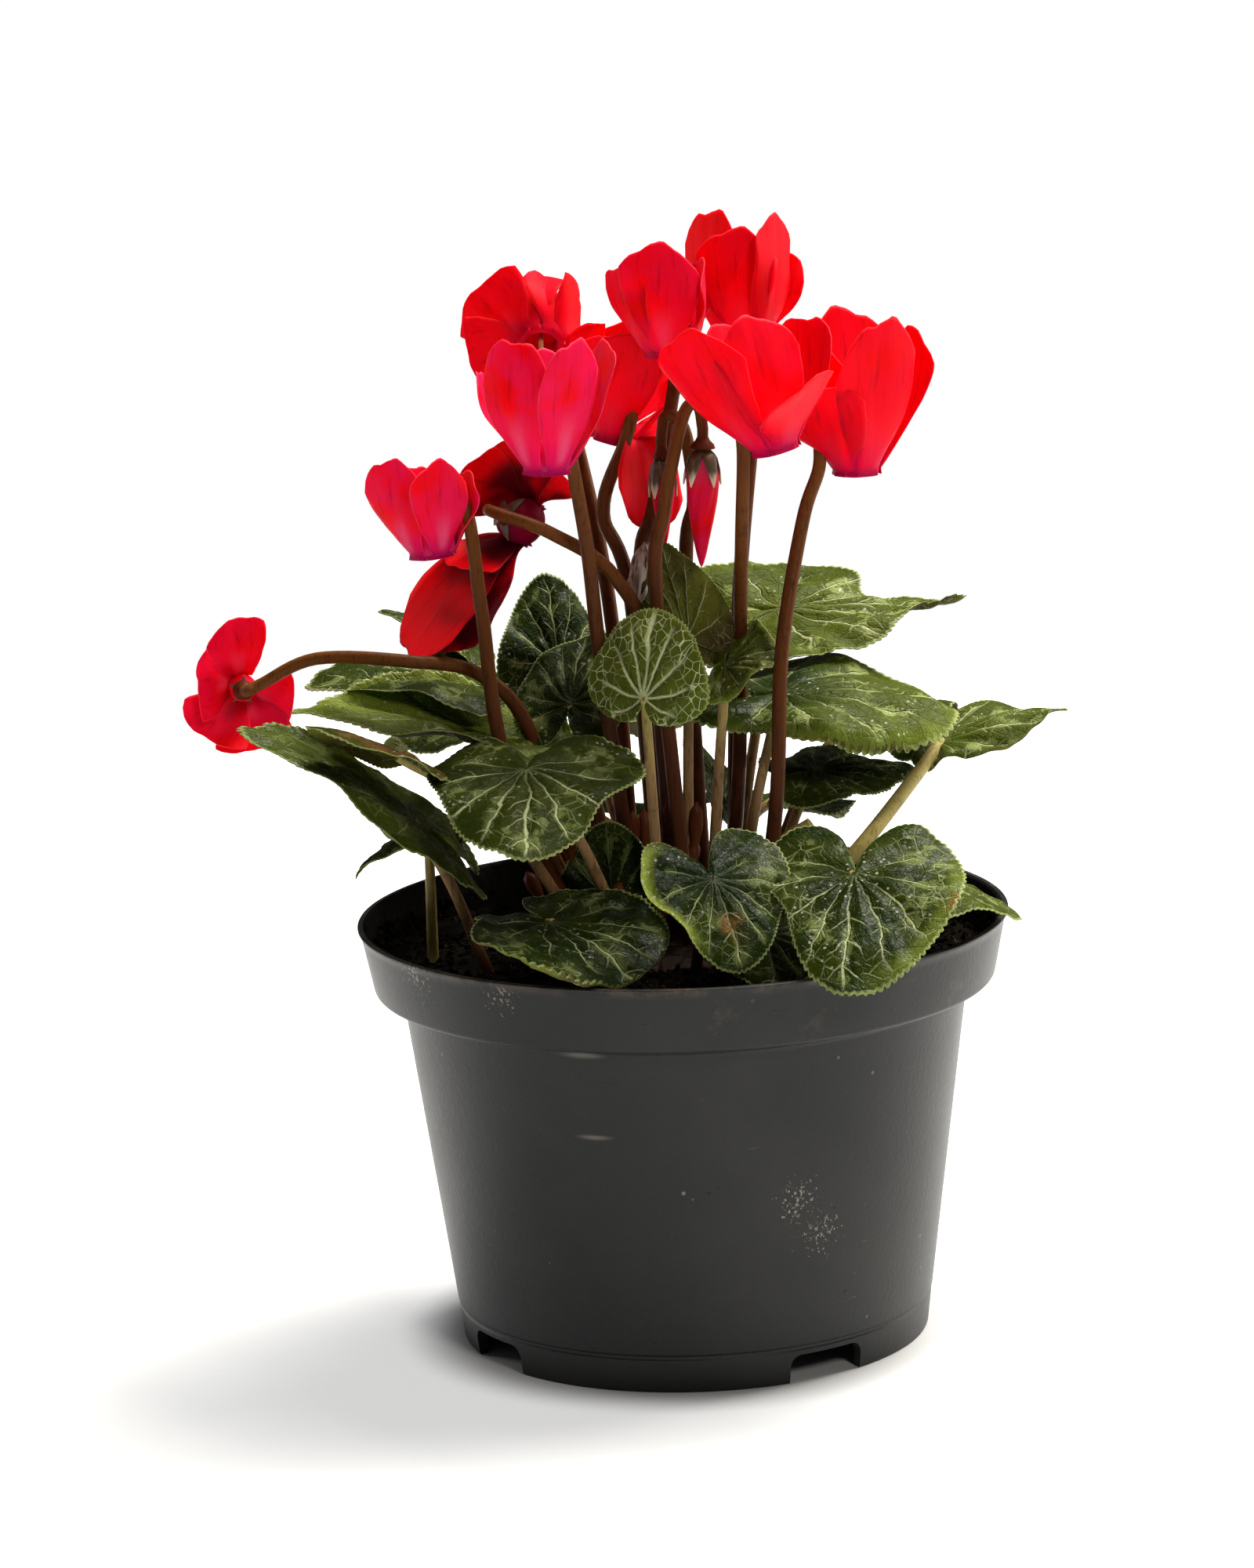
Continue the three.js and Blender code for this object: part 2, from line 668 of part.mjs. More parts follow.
// A stalk that thins towards its hook and flares into the calyx at its end.
function makeFlowerStalk(waypoints, calyxRadius, extra) {
  const before = waypoints.slice(0, -1);
  const stations = [...smoothPath(before, 1), waypoints[waypoints.length - 1]];
  const radii = stations.map((_, i) => stemRadius * (1 - (0.3 * i) / stations.length) + extra);
  radii[radii.length - 1] = calyxRadius + extra;
  return stalk(stations, radii, 5);
}

function makeBloomStem(bloom, extra) {
  return makeFlowerStalk(bloomStemPath(bloom), 2.3, extra);
}

function makeBud(bud, extra) {
  const top = vec(bud.top);
  const up = top.clone().sub(vec(bud.tip));
  const length = up.length();
  const profile = [
    [0, -length],
    [bud.radius * 0.3 + extra, -length + 1.5],
    [bud.radius * 0.75 + extra, -length * 0.6],
    [bud.radius + extra, -length * 0.25],
    [bud.radius * 0.7 + extra, -1],
    [0, -0.4 + extra],
  ].map(([r, h]) => new THREE.Vector2(r, h));
  return solidOf(placedAt(new THREE.LatheGeometry(profile, 8).rotateX(Math.PI / 2), top, up.normalize()));
}

function makeBudStem(bud, extra) {
  const top = vec(bud.top);
  const up = top.clone().sub(vec(bud.tip)).normalize();
  const [foot, ...way] = bud.stem;
  const side = vec(way[way.length - 1]).sub(top);
  const back = side.addScaledVector(up, -side.dot(up)).normalize();
  const hook = [
    [3, 7.4],
    [0.8, 7.4],
    [0, 3.2],
    [0, gap],
  ].map(([out, rise]) => top.clone().addScaledVector(back, out).addScaledVector(up, rise));
  const path = [new THREE.Vector3(foot[0], foot[1], stalkFootHeight), ...way.map(vec), ...hook];
  return makeFlowerStalk(path, bud.radius * 0.9, extra);
}

// Assembly: stems keep their shape, and what they pass through gives way round them.

const number = (i) => String(i + 1).padStart(2, "0");
const group = new THREE.Group();
const add = (name, solid, finish) => group.add(meshOf(name, solid, finish));

const stems = [...blooms.map((bloom) => [bloom, makeBloomStem]), ...buds.map((bud) => [bud, makeBudStem])];
const grownStems = stems.map(([flower, make]) => make(flower, clearance));
const grownPetioles = leaves.map((leaf) => makePetiole(leaf, clearance));
const grownBlades = leaves.map((leaf) => makeBlade(leaf, clearance));
const grownBlooms = blooms.map((bloom) => makeBloom(bloom, clearance));

const without = (solid, others) => others.reduce((rest, other) => rest.subtract(other), solid);

leaves.forEach((leaf, i) => {
  const inTheWay = [...grownStems, ...grownPetioles.filter((_, k) => k !== i), ...grownBlades.slice(0, i)];
  const blade = largestBody(without(makeBlade(leaf, 0), inTheWay));
  add(`leaf_${number(i)}`, largestBody(joined([blade, makePetiole(leaf, 0)])), finishes.leaf);
});

blooms.forEach((bloom, i) => {
  const inTheWay = [...grownStems, ...grownPetioles, ...grownBlades, ...grownBlooms.slice(0, i)];
  add(`bloom_${number(i)}`, largestBody(without(makeBloom(bloom, 0), inTheWay)), finishes.petal);
  add(`bloom_stem_${number(i)}`, makeBloomStem(bloom, 0), finishes.stem);
});

buds.forEach((bud, i) => {
  add(`bud_${number(i)}`, makeBud(bud, 0), finishes.petal);
  add(`bud_stem_${number(i)}`, makeBudStem(bud, 0), finishes.stem);
});

const grownStalks = [...grownStems, ...grownPetioles];
add("tuber", largestBody(without(makeTuber(0), grownStalks)), finishes.tuber);
add("soil", largestBody(without(makeSoil(), [makeTuber(gap), ...grownStalks])), finishes.soil);
add("pot", makePot(), finishes.plastic);

export default group;
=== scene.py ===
import math

import bmesh
import bpy
import numpy as np
from mathutils import Matrix, Vector, noise


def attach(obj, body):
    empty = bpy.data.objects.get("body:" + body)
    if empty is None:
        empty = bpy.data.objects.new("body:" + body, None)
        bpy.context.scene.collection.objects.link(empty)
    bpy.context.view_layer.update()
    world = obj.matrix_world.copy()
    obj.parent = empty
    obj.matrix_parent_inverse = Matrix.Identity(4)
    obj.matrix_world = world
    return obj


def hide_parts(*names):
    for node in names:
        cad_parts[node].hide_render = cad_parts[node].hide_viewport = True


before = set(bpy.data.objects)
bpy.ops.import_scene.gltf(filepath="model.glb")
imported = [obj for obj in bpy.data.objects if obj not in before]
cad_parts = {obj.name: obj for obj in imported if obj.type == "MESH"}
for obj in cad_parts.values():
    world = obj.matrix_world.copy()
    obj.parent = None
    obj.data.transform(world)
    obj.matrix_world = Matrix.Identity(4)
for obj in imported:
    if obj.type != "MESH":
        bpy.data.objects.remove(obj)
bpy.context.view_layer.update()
print("frame loaded")

# Sizes below are in millimetres, and become metres where a mesh is made.
mm = 0.001


# Meshes

def finish(piece, slot, *nodes):
    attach(piece, "root")
    if nodes:
        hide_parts(*nodes)
    return piece


def linked(name, data):
    holder = bpy.data.objects.new(name, data)
    bpy.context.scene.collection.objects.link(holder)
    return holder


def floatLayers(mesh, layers):
    for key, values in layers.items():
        layer = mesh.attributes.new(key, "FLOAT", "POINT")
        layer.data.foreach_set("value", np.asarray(values, dtype=np.float32).ravel())


def meshPiece(name, points, faces, materials, floats=None, uv=None, materialIndex=None):
    mesh = bpy.data.meshes.new(name)
    mesh.from_pydata((np.asarray(points) * mm).tolist(), [], faces)
    for material in materials:
        mesh.materials.append(material)
    floatLayers(mesh, floats or {})
    if uv is not None:
        corners = np.zeros(len(mesh.loops), dtype=np.int32)
        mesh.loops.foreach_get("vertex_index", corners)
        layer = mesh.uv_layers.new(name="place")
        layer.uv.foreach_set("vector", np.asarray(uv, dtype=np.float32)[corners].ravel())
    if materialIndex is not None:
        mesh.polygons.foreach_set("material_index", np.asarray(materialIndex, dtype=np.int32))
    mesh.polygons.foreach_set("use_smooth", np.ones(len(mesh.polygons), dtype=bool))
    mesh.update()
    return linked(name, mesh)


def gridFaces(rows, columns, start=0, closed=False, flipped=False):
    faces = []
    width = columns if closed else columns - 1
    for i in range(rows - 1):
        for j in range(width):
            a = start + i * columns + j
            b = start + i * columns + (j + 1) % columns
            quad = (a, b, b + columns, a + columns)
            faces.append(quad[::-1] if flipped else quad)
    return faces


# A smooth curve through a, b, c and d, at t from b to c
def curveThrough(a, b, c, d, t):
    return b + 0.5 * t * (c - a + t * (2 * a - 5 * b + 4 * c - d + t * (3 * (b - c) + d - a)))


def smoothPath(waypoints, stepsPerSpan):
    points = [np.array(p, dtype=float) for p in waypoints]
    points = [2 * points[0] - points[1]] + points + [2 * points[-1] - points[-2]]
    spans = [points[i - 1 : i + 3] for i in range(1, len(points) - 2)]
    path = [curveThrough(*span, k / stepsPerSpan) for span in spans for k in range(stepsPerSpan)]
    return np.array(path + [points[-2]])


def unit(v):
    v = np.asarray(v, dtype=float)
    return v / np.linalg.norm(v)


# v turned about an axis, both as rows of vectors
def turnedAbout(v, axis, angle):
    angle = np.asarray(angle)[..., None]
    along = np.sum(v * axis, axis=-1, keepdims=True)
    return v * np.cos(angle) + np.cross(axis, v) * np.sin(angle) + axis * along * (1 - np.cos(angle))


def softStep(x, low, high):
    t = np.clip((x - low) / (high - low), 0, 1)
    return t * t * (3 - 2 * t)


# Sets a node's inputs: a plain value goes in its socket, a socket or a Wire is linked to it
def fill(tree, node, inputs):
    for key, value in inputs.items():
        value = value.socket if isinstance(value, Wire) else value
        if isinstance(value, bpy.types.NodeSocket):
            tree.links.new(value, node.inputs[key])
        else:
            node.inputs[key].default_value = value


def addNode(tree, kind, inputs=None, **settings):
    node = tree.nodes.new(kind)
    for key, value in settings.items():
        setattr(node, key, value)
    fill(tree, node, inputs or {})
    return node


# Node arithmetic: a Wire is one output of a node tree, and sums on it add Math nodes.

class Wire:
    def __init__(self, tree, socket):
        self.tree = tree
        self.socket = socket

    def math(self, kind, *others):
        node = addNode(self.tree, "ShaderNodeMath", dict(enumerate((self, *others))), operation=kind)
        return Wire(self.tree, node.outputs[0])

    def __add__(self, other):
        return self.math("ADD", other)

    def __sub__(self, other):
        return self.math("SUBTRACT", other)

    def __mul__(self, other):
        return self.math("MULTIPLY", other)

    def size(self):
        return self.math("ABSOLUTE")

    def orMore(self, other):
        return self.math("MAXIMUM", other)

    def orLess(self, other):
        return self.math("MINIMUM", other)

    def rise(self, low, high, start=0, end=1):
        inputs = {"Value": self, "From Min": low, "From Max": high, "To Min": start, "To Max": end}
        node = addNode(self.tree, "ShaderNodeMapRange", inputs, interpolation_type="SMOOTHSTEP")
        return Wire(self.tree, node.outputs["Result"])

    def fall(self, low, high):
        return self.rise(low, high, 1, 0)


def newMaterial(name):
    material = bpy.data.materials.new(name)
    material.use_nodes = True
    return material, material.node_tree


# The material with its shader's sockets filled, and a relief of so many metres pressed into it
def dressed(material, sockets, relief=None, depth=0.0, strength=1.0):
    tree = material.node_tree
    shader = tree.nodes["Principled BSDF"]
    fill(tree, shader, sockets)
    if relief is not None:
        bump = addNode(tree, "ShaderNodeBump", {"Distance": depth, "Strength": strength, "Height": relief})
        tree.links.new(bump.outputs["Normal"], shader.inputs["Normal"])
    return material


def attributeWires(tree, *names):
    nodes = [addNode(tree, "ShaderNodeAttribute", attribute_name=name) for name in names]
    return [Wire(tree, node.outputs["Fac"]) for node in nodes]


def stretched(tree, vector, stretch):
    return addNode(tree, "ShaderNodeMapping", {"Scale": stretch, "Vector": vector}).outputs["Vector"]


def objectPlace(tree, stretch=(1, 1, 1)):
    return stretched(tree, addNode(tree, "ShaderNodeTexCoord").outputs["Object"], stretch)


def uvPlace(tree, stretch=(1, 1, 1)):
    return stretched(tree, addNode(tree, "ShaderNodeUVMap", uv_map="place").outputs["UV"], stretch)


def splitPlace(tree, vector):
    return [Wire(tree, part) for part in addNode(tree, "ShaderNodeSeparateXYZ", {0: vector}).outputs]


def noiseWire(tree, vector, scale, detail=3, roughness=0.5):
    inputs = {"Scale": scale, "Detail": detail, "Roughness": roughness, "Vector": vector}
    return Wire(tree, addNode(tree, "ShaderNodeTexNoise", inputs).outputs["Fac"])


def cellWire(tree, vector, scale, feature="DISTANCE_TO_EDGE"):
    node = addNode(tree, "ShaderNodeTexVoronoi", {"Scale": scale, "Vector": vector}, feature=feature)
    return Wire(tree, node.outputs["Distance"])


# Lays colours over the first one, each by its own amount; a colour is a tuple or a socket
def layered(tree, colour, *layers):
    for over, amount in layers:
        under, over = ((*c, 1) if isinstance(c, tuple) else c for c in (colour, over))
        mixed = addNode(tree, "ShaderNodeMix", {6: under, 7: over, 0: amount}, data_type="RGBA")
        colour = mixed.outputs[2]
    return colour


# Geometry Nodes: each tree has named inputs and ends in real meshes with their material

def newTree(name, inputs, output):
    tree = bpy.data.node_groups.new(name, "GeometryNodeTree")
    for key, kind in inputs.items():
        tree.interface.new_socket(key, in_out="INPUT", socket_type="NodeSocket" + kind)
    tree.interface.new_socket(output, in_out="OUTPUT", socket_type="NodeSocketGeometry")
    return tree, tree.nodes.new("NodeGroupInput").outputs


def endTree(tree, given, shape, smooth=True):
    if smooth:
        shape = addNode(tree, "GeometryNodeSetShadeSmooth", {"Geometry": shape}).outputs[0]
    real = addNode(tree, "GeometryNodeRealizeInstances", {0: shape}).outputs[0]
    skin = addNode(tree, "GeometryNodeSetMaterial", {"Geometry": real, "Material": given["Skin"]})
    addNode(tree, "NodeGroupOutput", {0: skin.outputs[0]})
    return tree


def evaluatedMesh(source):
    bpy.context.view_layer.update()
    graph = bpy.context.evaluated_depsgraph_get()
    return bpy.data.meshes.new_from_object(source.evaluated_get(graph), depsgraph=graph)


# The tree's result as a plain mesh object
def grown(source, tree, values, name):
    modifier = source.modifiers.new("grow", "NODES")
    modifier.node_group = tree
    for item in tree.interface.items_tree:
        if item.in_out == "INPUT" and item.name in values:
            modifier[item.identifier] = values[item.name]
    mesh = evaluatedMesh(source)
    mesh.name = name
    mesh.materials.clear()
    mesh.materials.append(values["Skin"])
    mesh.polygons.foreach_set("material_index", np.zeros(len(mesh.polygons), dtype=np.int32))
    bpy.data.objects.remove(source)
    return linked(name, mesh)


# Camera, light and floor

camera = {
    "place": (0.0, -1.1, 0.34176),
    "aim": (-0.010124, 0.0, 0.111309),
    "roll": -2.077,
    "lens": 130.23,
    "clipEnd": 60,
}


def makeCamera():
    lens = bpy.data.cameras.new("camera")
    lens.sensor_fit = "VERTICAL"
    lens.sensor_height = 36
    lens.lens = camera["lens"]
    lens.clip_end = camera["clipEnd"]
    eye = Vector(camera["place"])
    forward = (Vector(camera["aim"]) - eye).normalized()
    right = forward.cross(Vector((0, 0, 1))).normalized()
    up = right.cross(forward)
    roll = math.radians(camera["roll"])
    rolledRight = right * math.cos(roll) + up * math.sin(roll)
    rolledUp = up * math.cos(roll) - right * math.sin(roll)
    holder = linked("camera", lens)
    turn = Matrix((rolledRight, rolledUp, -forward)).transposed()
    holder.matrix_world = Matrix.Translation(eye) @ turn.to_4x4()
    bpy.context.scene.camera = holder


makeCamera()

sky = {"colour": (0.95, 0.97, 1.0), "strength": 0.08, "backdrop": 1.0}
# name: place, aim, width and height in metres, power in watts, colour
lamps = {
    "top": ((0.45, 0.4, 1.3), (0, 0.05, 0), (0.8, 0.8), 50.0, (1.0, 0.98, 0.92)),
    "left": ((-1.1, 0.6, 0.45), (0, 0, 0.1), (0.4, 0.9), 3.6, (1.0, 1.0, 1.0)),
    "right": ((1.1, 0.6, 0.5), (0, 0, 0.1), (0.4, 0.9), 11.0, (1.0, 0.93, 0.81)),
    "front": ((0.6, -1.3, 1.0), (0, 0, 0.12), (0.3, 0.3), 8.0, (1.0, 0.96, 0.89)),
}


# The camera sees a white backdrop, and the plant is lit by a dim sky and the lamps
def makeLights():
    world = bpy.data.worlds.new("studio")
    bpy.context.scene.world = world
    world.use_nodes = True
    tree = world.node_tree
    dim = tree.nodes["Background"]
    fill(tree, dim, {"Color": (*sky["colour"], 1), "Strength": sky["strength"]})
    white = addNode(tree, "ShaderNodeBackground", {"Color": (1, 1, 1, 1), "Strength": sky["backdrop"]})
    seen = addNode(tree, "ShaderNodeLightPath").outputs["Is Camera Ray"]
    choice = addNode(tree, "ShaderNodeMixShader", {0: seen, 1: dim.outputs[0], 2: white.outputs[0]})
    tree.links.new(choice.outputs[0], tree.nodes["World Output"].inputs["Surface"])
    for name, (place, aim, sizes, power, colour) in lamps.items():
        light = bpy.data.lights.new(name, "AREA")
        light.shape = "RECTANGLE"
        light.size, light.size_y = sizes
        light.energy = power
        light.color = colour
        holder = linked(name, light)
        holder.location = place
        holder.rotation_euler = (Vector(aim) - Vector(place)).to_track_quat("-Z", "Y").to_euler()


makeLights()
bpy.context.scene.view_settings.view_transform = "Standard"

# The paper glows, a painted light: towards its edge, so it runs into the white behind it without a line, and at
# least leastGlow nearer in, which pales the cast shadow
floorPaper = {
    "radius": 0.66,
    "corners": 96,
    "colour": (0.5, 0.5, 0.5),
    "speckDarkness": 0.985,
    "speckScale": 300,
    "glow": 1.0,
    "leastGlow": 0.52,
    "glowRise": (0.2, 0.6072),
    "paintedShadowUnderPot": (0.046, 0.062),
}


def makeFloor():
    turns = [2 * math.pi * k / floorPaper["corners"] for k in range(floorPaper["corners"])]
    reach = floorPaper["radius"] / mm
    material, tree = newMaterial("floorPaper")
    body = objectPlace(tree)
    pale = floorPaper["colour"]
    dull = tuple(c * floorPaper["speckDarkness"] for c in pale)
    tone = layered(tree, pale, (dull, noiseWire(tree, body, floorPaper["speckScale"])))
    away = Wire(tree, addNode(tree, "ShaderNodeVectorMath", {0: body}, operation="LENGTH").outputs["Value"])
    least = floorPaper["leastGlow"]
    glow = away.rise(*floorPaper["glowRise"]) * (floorPaper["glow"] - least) + least
    # painted contact shadow: the glow is off under the pot and comes back just past its foot
    glow = {"Emission Color": (1, 1, 1, 1), "Emission Strength": glow * away.rise(*floorPaper["paintedShadowUnderPot"])}
    dressed(material, {"Base Color": tone, "Roughness": 0.9, "Specular IOR Level": 0.1, **glow})
    corners = [(reach * math.cos(a), reach * math.sin(a), 0) for a in turns]
    floor = meshPiece("floor", corners, [tuple(range(len(corners)))], [material])


makeFloor()
print("camera, light and floor made")


# Materials of the plant

leafFinish = {
    "heartGreen": (0.005, 0.0125, 0.001),
    "midGreen": (0.058, 0.076, 0.004),
    "silver": (0.21, 0.255, 0.075),
    "vein": (0.47, 0.52, 0.26),
    # the margin: the leaf's own lighter edge, brightened further as a painted highlight on its teeth
    "edge": (0.30, 0.34, 0.12),
    "lime": (0.24, 0.30, 0.04),
    "bold": (0.80, 0.86, 0.48),
    "rust": (0.16, 0.075, 0.022),
    "speck": (0.48, 0.5, 0.4),
    "underGreen": (0.12, 0.125, 0.018),
    "underBrown": (0.062, 0.043, 0.016),
    # each side vein: angle from the midrib in degrees, reach in blade lengths, bend, width
    "sideVeins": [
        (25, 0.84, 0.10, 0.008), (52, 0.76, 0.17, 0.008), (84, 0.66, 0.2, 0.007), (118, 0.5, 0.22, 0.006),
    ],
}


# Where the veins are, and a band beside the main ones
def veinPattern(tree, x, y):
    slim = attributeWires(tree, "slim")[0]
    found = (y.size() * slim).fall(0.005, 0.013) * x.rise(-0.01, 0.02) * x.fall(0.8, 0.97)
    near = y.size().fall(0.0, 0.075)
    for degrees, reach, bend, width in leafFinish["sideVeins"]:
        angle = math.radians(degrees)
        out = x * math.cos(angle) + y.size() * math.sin(angle)
        off = y.size() * math.cos(angle) - x * math.sin(angle) + out * out * bend
        line = (off.size() * slim).fall(width * 0.45, width * 1.3)
        line = line * out.rise(0.0, 0.02) * out.fall(reach * 0.75, reach)
        beside = off.size().fall(0.0, 0.075) * out.rise(0.0, 0.02)
        near = near.orMore(beside * out.fall(reach * 0.85, reach * 1.1))
        # twigs that leave each side vein at a slant
        slant = (out - off.size() * 0.8) * (1 / 0.17)
        twig = slant.math("PINGPONG", 0.5).fall(0.02, 0.075) * off.size().fall(0.04, 0.085)
        twig = twig * out.rise(0.18, 0.3) * out.fall(reach * 0.8, reach)
        found = found.orMore(line).orMore(twig * 0.45)
    slant = (x - y.size() * 0.9) * (1 / 0.19)
    twig = slant.math("PINGPONG", 0.5).fall(0.02, 0.07) * y.size().fall(0.07, 0.14)
    return found.orMore(twig * x.rise(0.2, 0.35) * x.fall(0.8, 0.95) * 0.8), near


def leafMaterial():
    material, tree = newMaterial("leafSkin")
    place, body = uvPlace(tree), objectPlace(tree)
    x, y, _ = splitPlace(tree, place)
    x += (noiseWire(tree, body, 130) - 0.5) * 0.13
    y += (noiseWire(tree, objectPlace(tree, (-1, 1, 1)), 150) - 0.5) * 0.13
    names = ("share", "under", "tone", "mark", "lime", "rust")
    share, under, tone, mark, lime, rust = attributeWires(tree, *names)
    veins, near = veinPattern(tree, x, y)
    net = cellWire(tree, place, 8.5).fall(0.015, 0.05)
    fineNet = cellWire(tree, place, 24.0).fall(0.02, 0.09)
    blotch = noiseWire(tree, body, 210, 4, 0.6)
    patch = noiseWire(tree, body, 90, 2)
    band = share.rise(0.36, 0.62) * share.fall(0.86, 0.98)
    silver = band * (blotch + near * 0.13).rise(0.56, 0.63) * (patch + near * 0.1).rise(0.4, 0.55)
    bold = mark.rise(1.5, 2.4)  # only the small leaf at the front is marked this strongly
    netHere = net * patch.rise(0.5, 0.62).orMore(bold) * share.rise(0.4, 0.65) * share.fall(0.93, 0.99)
    specks = cellWire(tree, body, 620, "F1").fall(0.12, 0.24) * noiseWire(tree, body, 85).rise(0.48, 0.62)
    paint = leafFinish
    green = layered(
        tree,
        paint["heartGreen"],
        (paint["midGreen"], patch.rise(0.35, 0.7) * 0.3 + tone * 0.7),
        (paint["silver"], silver * (tone * 0.4 + 0.38)),
        (paint["vein"], netHere * (bold * 0.5 + 0.22)),
        (paint["vein"], (veins * (share.rise(0.2, 0.5) * 0.55 + 0.12) * mark).orLess(1.0)),
        (paint["bold"], veins.orMore(net * share.rise(0.6, 0.8)) * bold * 0.7),
        (paint["lime"], lime),
        (paint["rust"], rust * blotch.rise(0.4, 0.6)),
        # pale margin: the leaf's own lighter edge and a painted highlight on its teeth
        (paint["edge"], share.rise(0.97, 0.998) * 0.8),
        (paint["speck"], specks * 0.6),
    )
    below = layered(
        tree,
        paint["underGreen"],
        (paint["underBrown"], patch.rise(0.35, 0.65)),
        (paint["vein"], (veins * 0.7).orMore(netHere * 0.4)),
    )
    sockets = {
        "Base Color": layered(tree, green, (below, under)),
        "Roughness": blotch * 0.2 + under * 0.25 + tone * 0.2 + 0.18,
        "IOR": 1.14,
        "Subsurface Weight": 0.05,
        "Subsurface Radius": (0.4, 1.0, 0.2),
        "Subsurface Scale": 0.0012,
    }
    relief = veins * -0.9 + net * -0.22 + fineNet * -0.14 + blotch * 0.8
    return dressed(material, sockets, relief + noiseWire(tree, body, 1400, 2) * 0.12, 0.0006)


stalkFinish = {
    "leafFoot": (0.10, 0.036, 0.015),
    "leafMid": (0.32, 0.19, 0.085),
    "leafHead": (0.42, 0.34, 0.11),
    "flowerFoot": (0.075, 0.023, 0.008),
    "flowerMid": (0.14, 0.047, 0.010),
    "flowerHead": (0.085, 0.021, 0.008),
    "fleck": (0.018, 0.006, 0.004),
}


def stalkMaterial(name, foot, middle, head):
    material, tree = newMaterial(name)
    along, tone = attributeWires(tree, "along", "tone")
    streak = noiseWire(tree, objectPlace(tree, (1, 1, 0.12)), 1500)
    mottle = noiseWire(tree, objectPlace(tree), 260)
    colour = layered(
        tree,
        stalkFinish[foot],
        (stalkFinish[middle], along.rise(0.05, 0.5)),
        (stalkFinish[head], along.rise(0.6, 1.0)),
        (stalkFinish["leafHead"], tone),
        (stalkFinish["fleck"], streak.rise(0.5, 0.75) * 0.5),
        (stalkFinish["fleck"], mottle.rise(0.58, 0.75) * 0.35),
    )
    sockets = {"Base Color": colour, "Roughness": streak * 0.2 + 0.3, "IOR": 1.15}
    sockets.update({"Subsurface Weight": 0.05, "Subsurface Scale": 0.001})
    return dressed(material, sockets, streak + mottle * 0.5, 0.00012, 0.7)


petalFinish = {
    "red": (0.84, 0.0, 0.003),
    "crimson": (0.70, 0.0, 0.022),
    "pink": (0.74, 0.008, 0.085),
    "deep": (0.13, 0.0, 0.003),
    "paintedShadeMaroon": (0.06, 0.0, 0.004),
    "mouth": (0.55, 0.004, 0.10),
    "purple": (0.24, 0.002, 0.06),
    "pale": (0.74, 0.13, 0.27),
    "rim": (0.85, 0.10, 0.11),
}


def petalMaterial():
    material, tree = newMaterial("petalSkin")
    along, across, _ = splitPlace(tree, uvPlace(tree))
    pink, dark, blush = attributeWires(tree, "pink", "dark", "blush")
    streak = noiseWire(tree, uvPlace(tree, (1.2, 9, 1)), 3.4, 4, 0.6)
    fine = noiseWire(tree, uvPlace(tree, (2.0, 40, 1)), 3.0, 2)
    shade = noiseWire(tree, uvPlace(tree, (1.0, 2.2, 1)), 2.2)
    cloud = noiseWire(tree, objectPlace(tree), 120, 2)
    root = (along + (streak - 0.5) * 0.16).fall(0.02, 0.3)
    heart = along.rise(0.02, 0.12) * along.fall(0.2, 0.5)
    heart = heart * (across.size() + (streak - 0.5) * 0.6).fall(0.05, 0.5)
    mouth = (along + (fine - 0.5) * 0.05).fall(-0.04, 0.07)
    edge = across.size().rise(0.95, 1.0).orMore(along.rise(0.98, 1.0))
    colour = layered(
        tree,
        petalFinish["red"],
        (petalFinish["crimson"], streak.rise(0.45, 0.7) * 0.4),
        (petalFinish["pink"], pink * cloud.rise(0.3, 0.6)),
        (petalFinish["deep"], shade.rise(0.52, 0.8) * 0.4),
        (petalFinish["deep"], fine.rise(0.5, 0.8) * 0.06),
        # maroon by the dark attribute: on bloom_09's petals it is painted shade; the buds are a little darker by
        # it
        (petalFinish["paintedShadeMaroon"], dark * cloud.rise(0.1, 0.5)),
        (petalFinish["mouth"], root * (pink * 0.5 + 0.4) * blush),
        (petalFinish["pale"], heart * pink * 0.55),
        (petalFinish["purple"], mouth * blush * 0.7),
        (petalFinish["rim"], edge * (pink * 0.3 + 0.12)),
    )
    sockets = {
        "Base Color": colour,
        "Roughness": streak * 0.18 + 0.4,
        "IOR": 1.12,
        "Subsurface Weight": 0.3,
        "Subsurface Radius": (1.0, 0.08, 0.12),
        "Subsurface Scale": 0.002,
    }
    return dressed(material, sockets, streak + fine * 0.6, 0.00016, 0.35)


sepalFinish = {"brown": (0.055, 0.035, 0.018), "olive": (0.12, 0.11, 0.045), "cream": (0.62, 0.55, 0.38)}


def sepalMaterial():
    material, tree = newMaterial("sepalSkin")
    along = attributeWires(tree, "along")[0]
    streak = noiseWire(tree, objectPlace(tree, (1, 1, 0.2)), 1300)
    colour = layered(
        tree,
        sepalFinish["brown"],
        (sepalFinish["olive"], streak.rise(0.35, 0.7) * 0.7),
        (sepalFinish["cream"], (along + (streak - 0.5) * 0.25).rise(0.62, 0.88)),
    )
    return dressed(material, {"Base Color": colour, "Roughness": 0.5}, streak, 0.0001, 0.6)


pistilFinish = {"straw": (0.72, 0.55, 0.28), "brown": (0.55, 0.33, 0.15)}


def pistilMaterial():
    material, tree = newMaterial("pistilSkin")
    streak = noiseWire(tree, objectPlace(tree), 1500, 2)
    colour = layered(tree, pistilFinish["straw"], (pistilFinish["brown"], streak))
    return dressed(material, {"Base Color": colour, "Roughness": 0.5})


driedFinish = {"tan": (0.52, 0.36, 0.27), "brown": (0.13, 0.06, 0.035), "bleached": (0.72, 0.62, 0.54)}


def driedMaterial():
    material, tree = newMaterial("driedSkin")
    body = objectPlace(tree, (1, 1, 0.3))
    streak = noiseWire(tree, body, 900)
    colour = layered(
        tree,
        driedFinish["tan"],
        (driedFinish["brown"], streak.rise(0.42, 0.62)),
        (driedFinish["bleached"], noiseWire(tree, body, 260).rise(0.52, 0.66)),
    )
    return dressed(material, {"Base Color": colour, "Roughness": 0.7}, streak, 0.0003, 0.8)


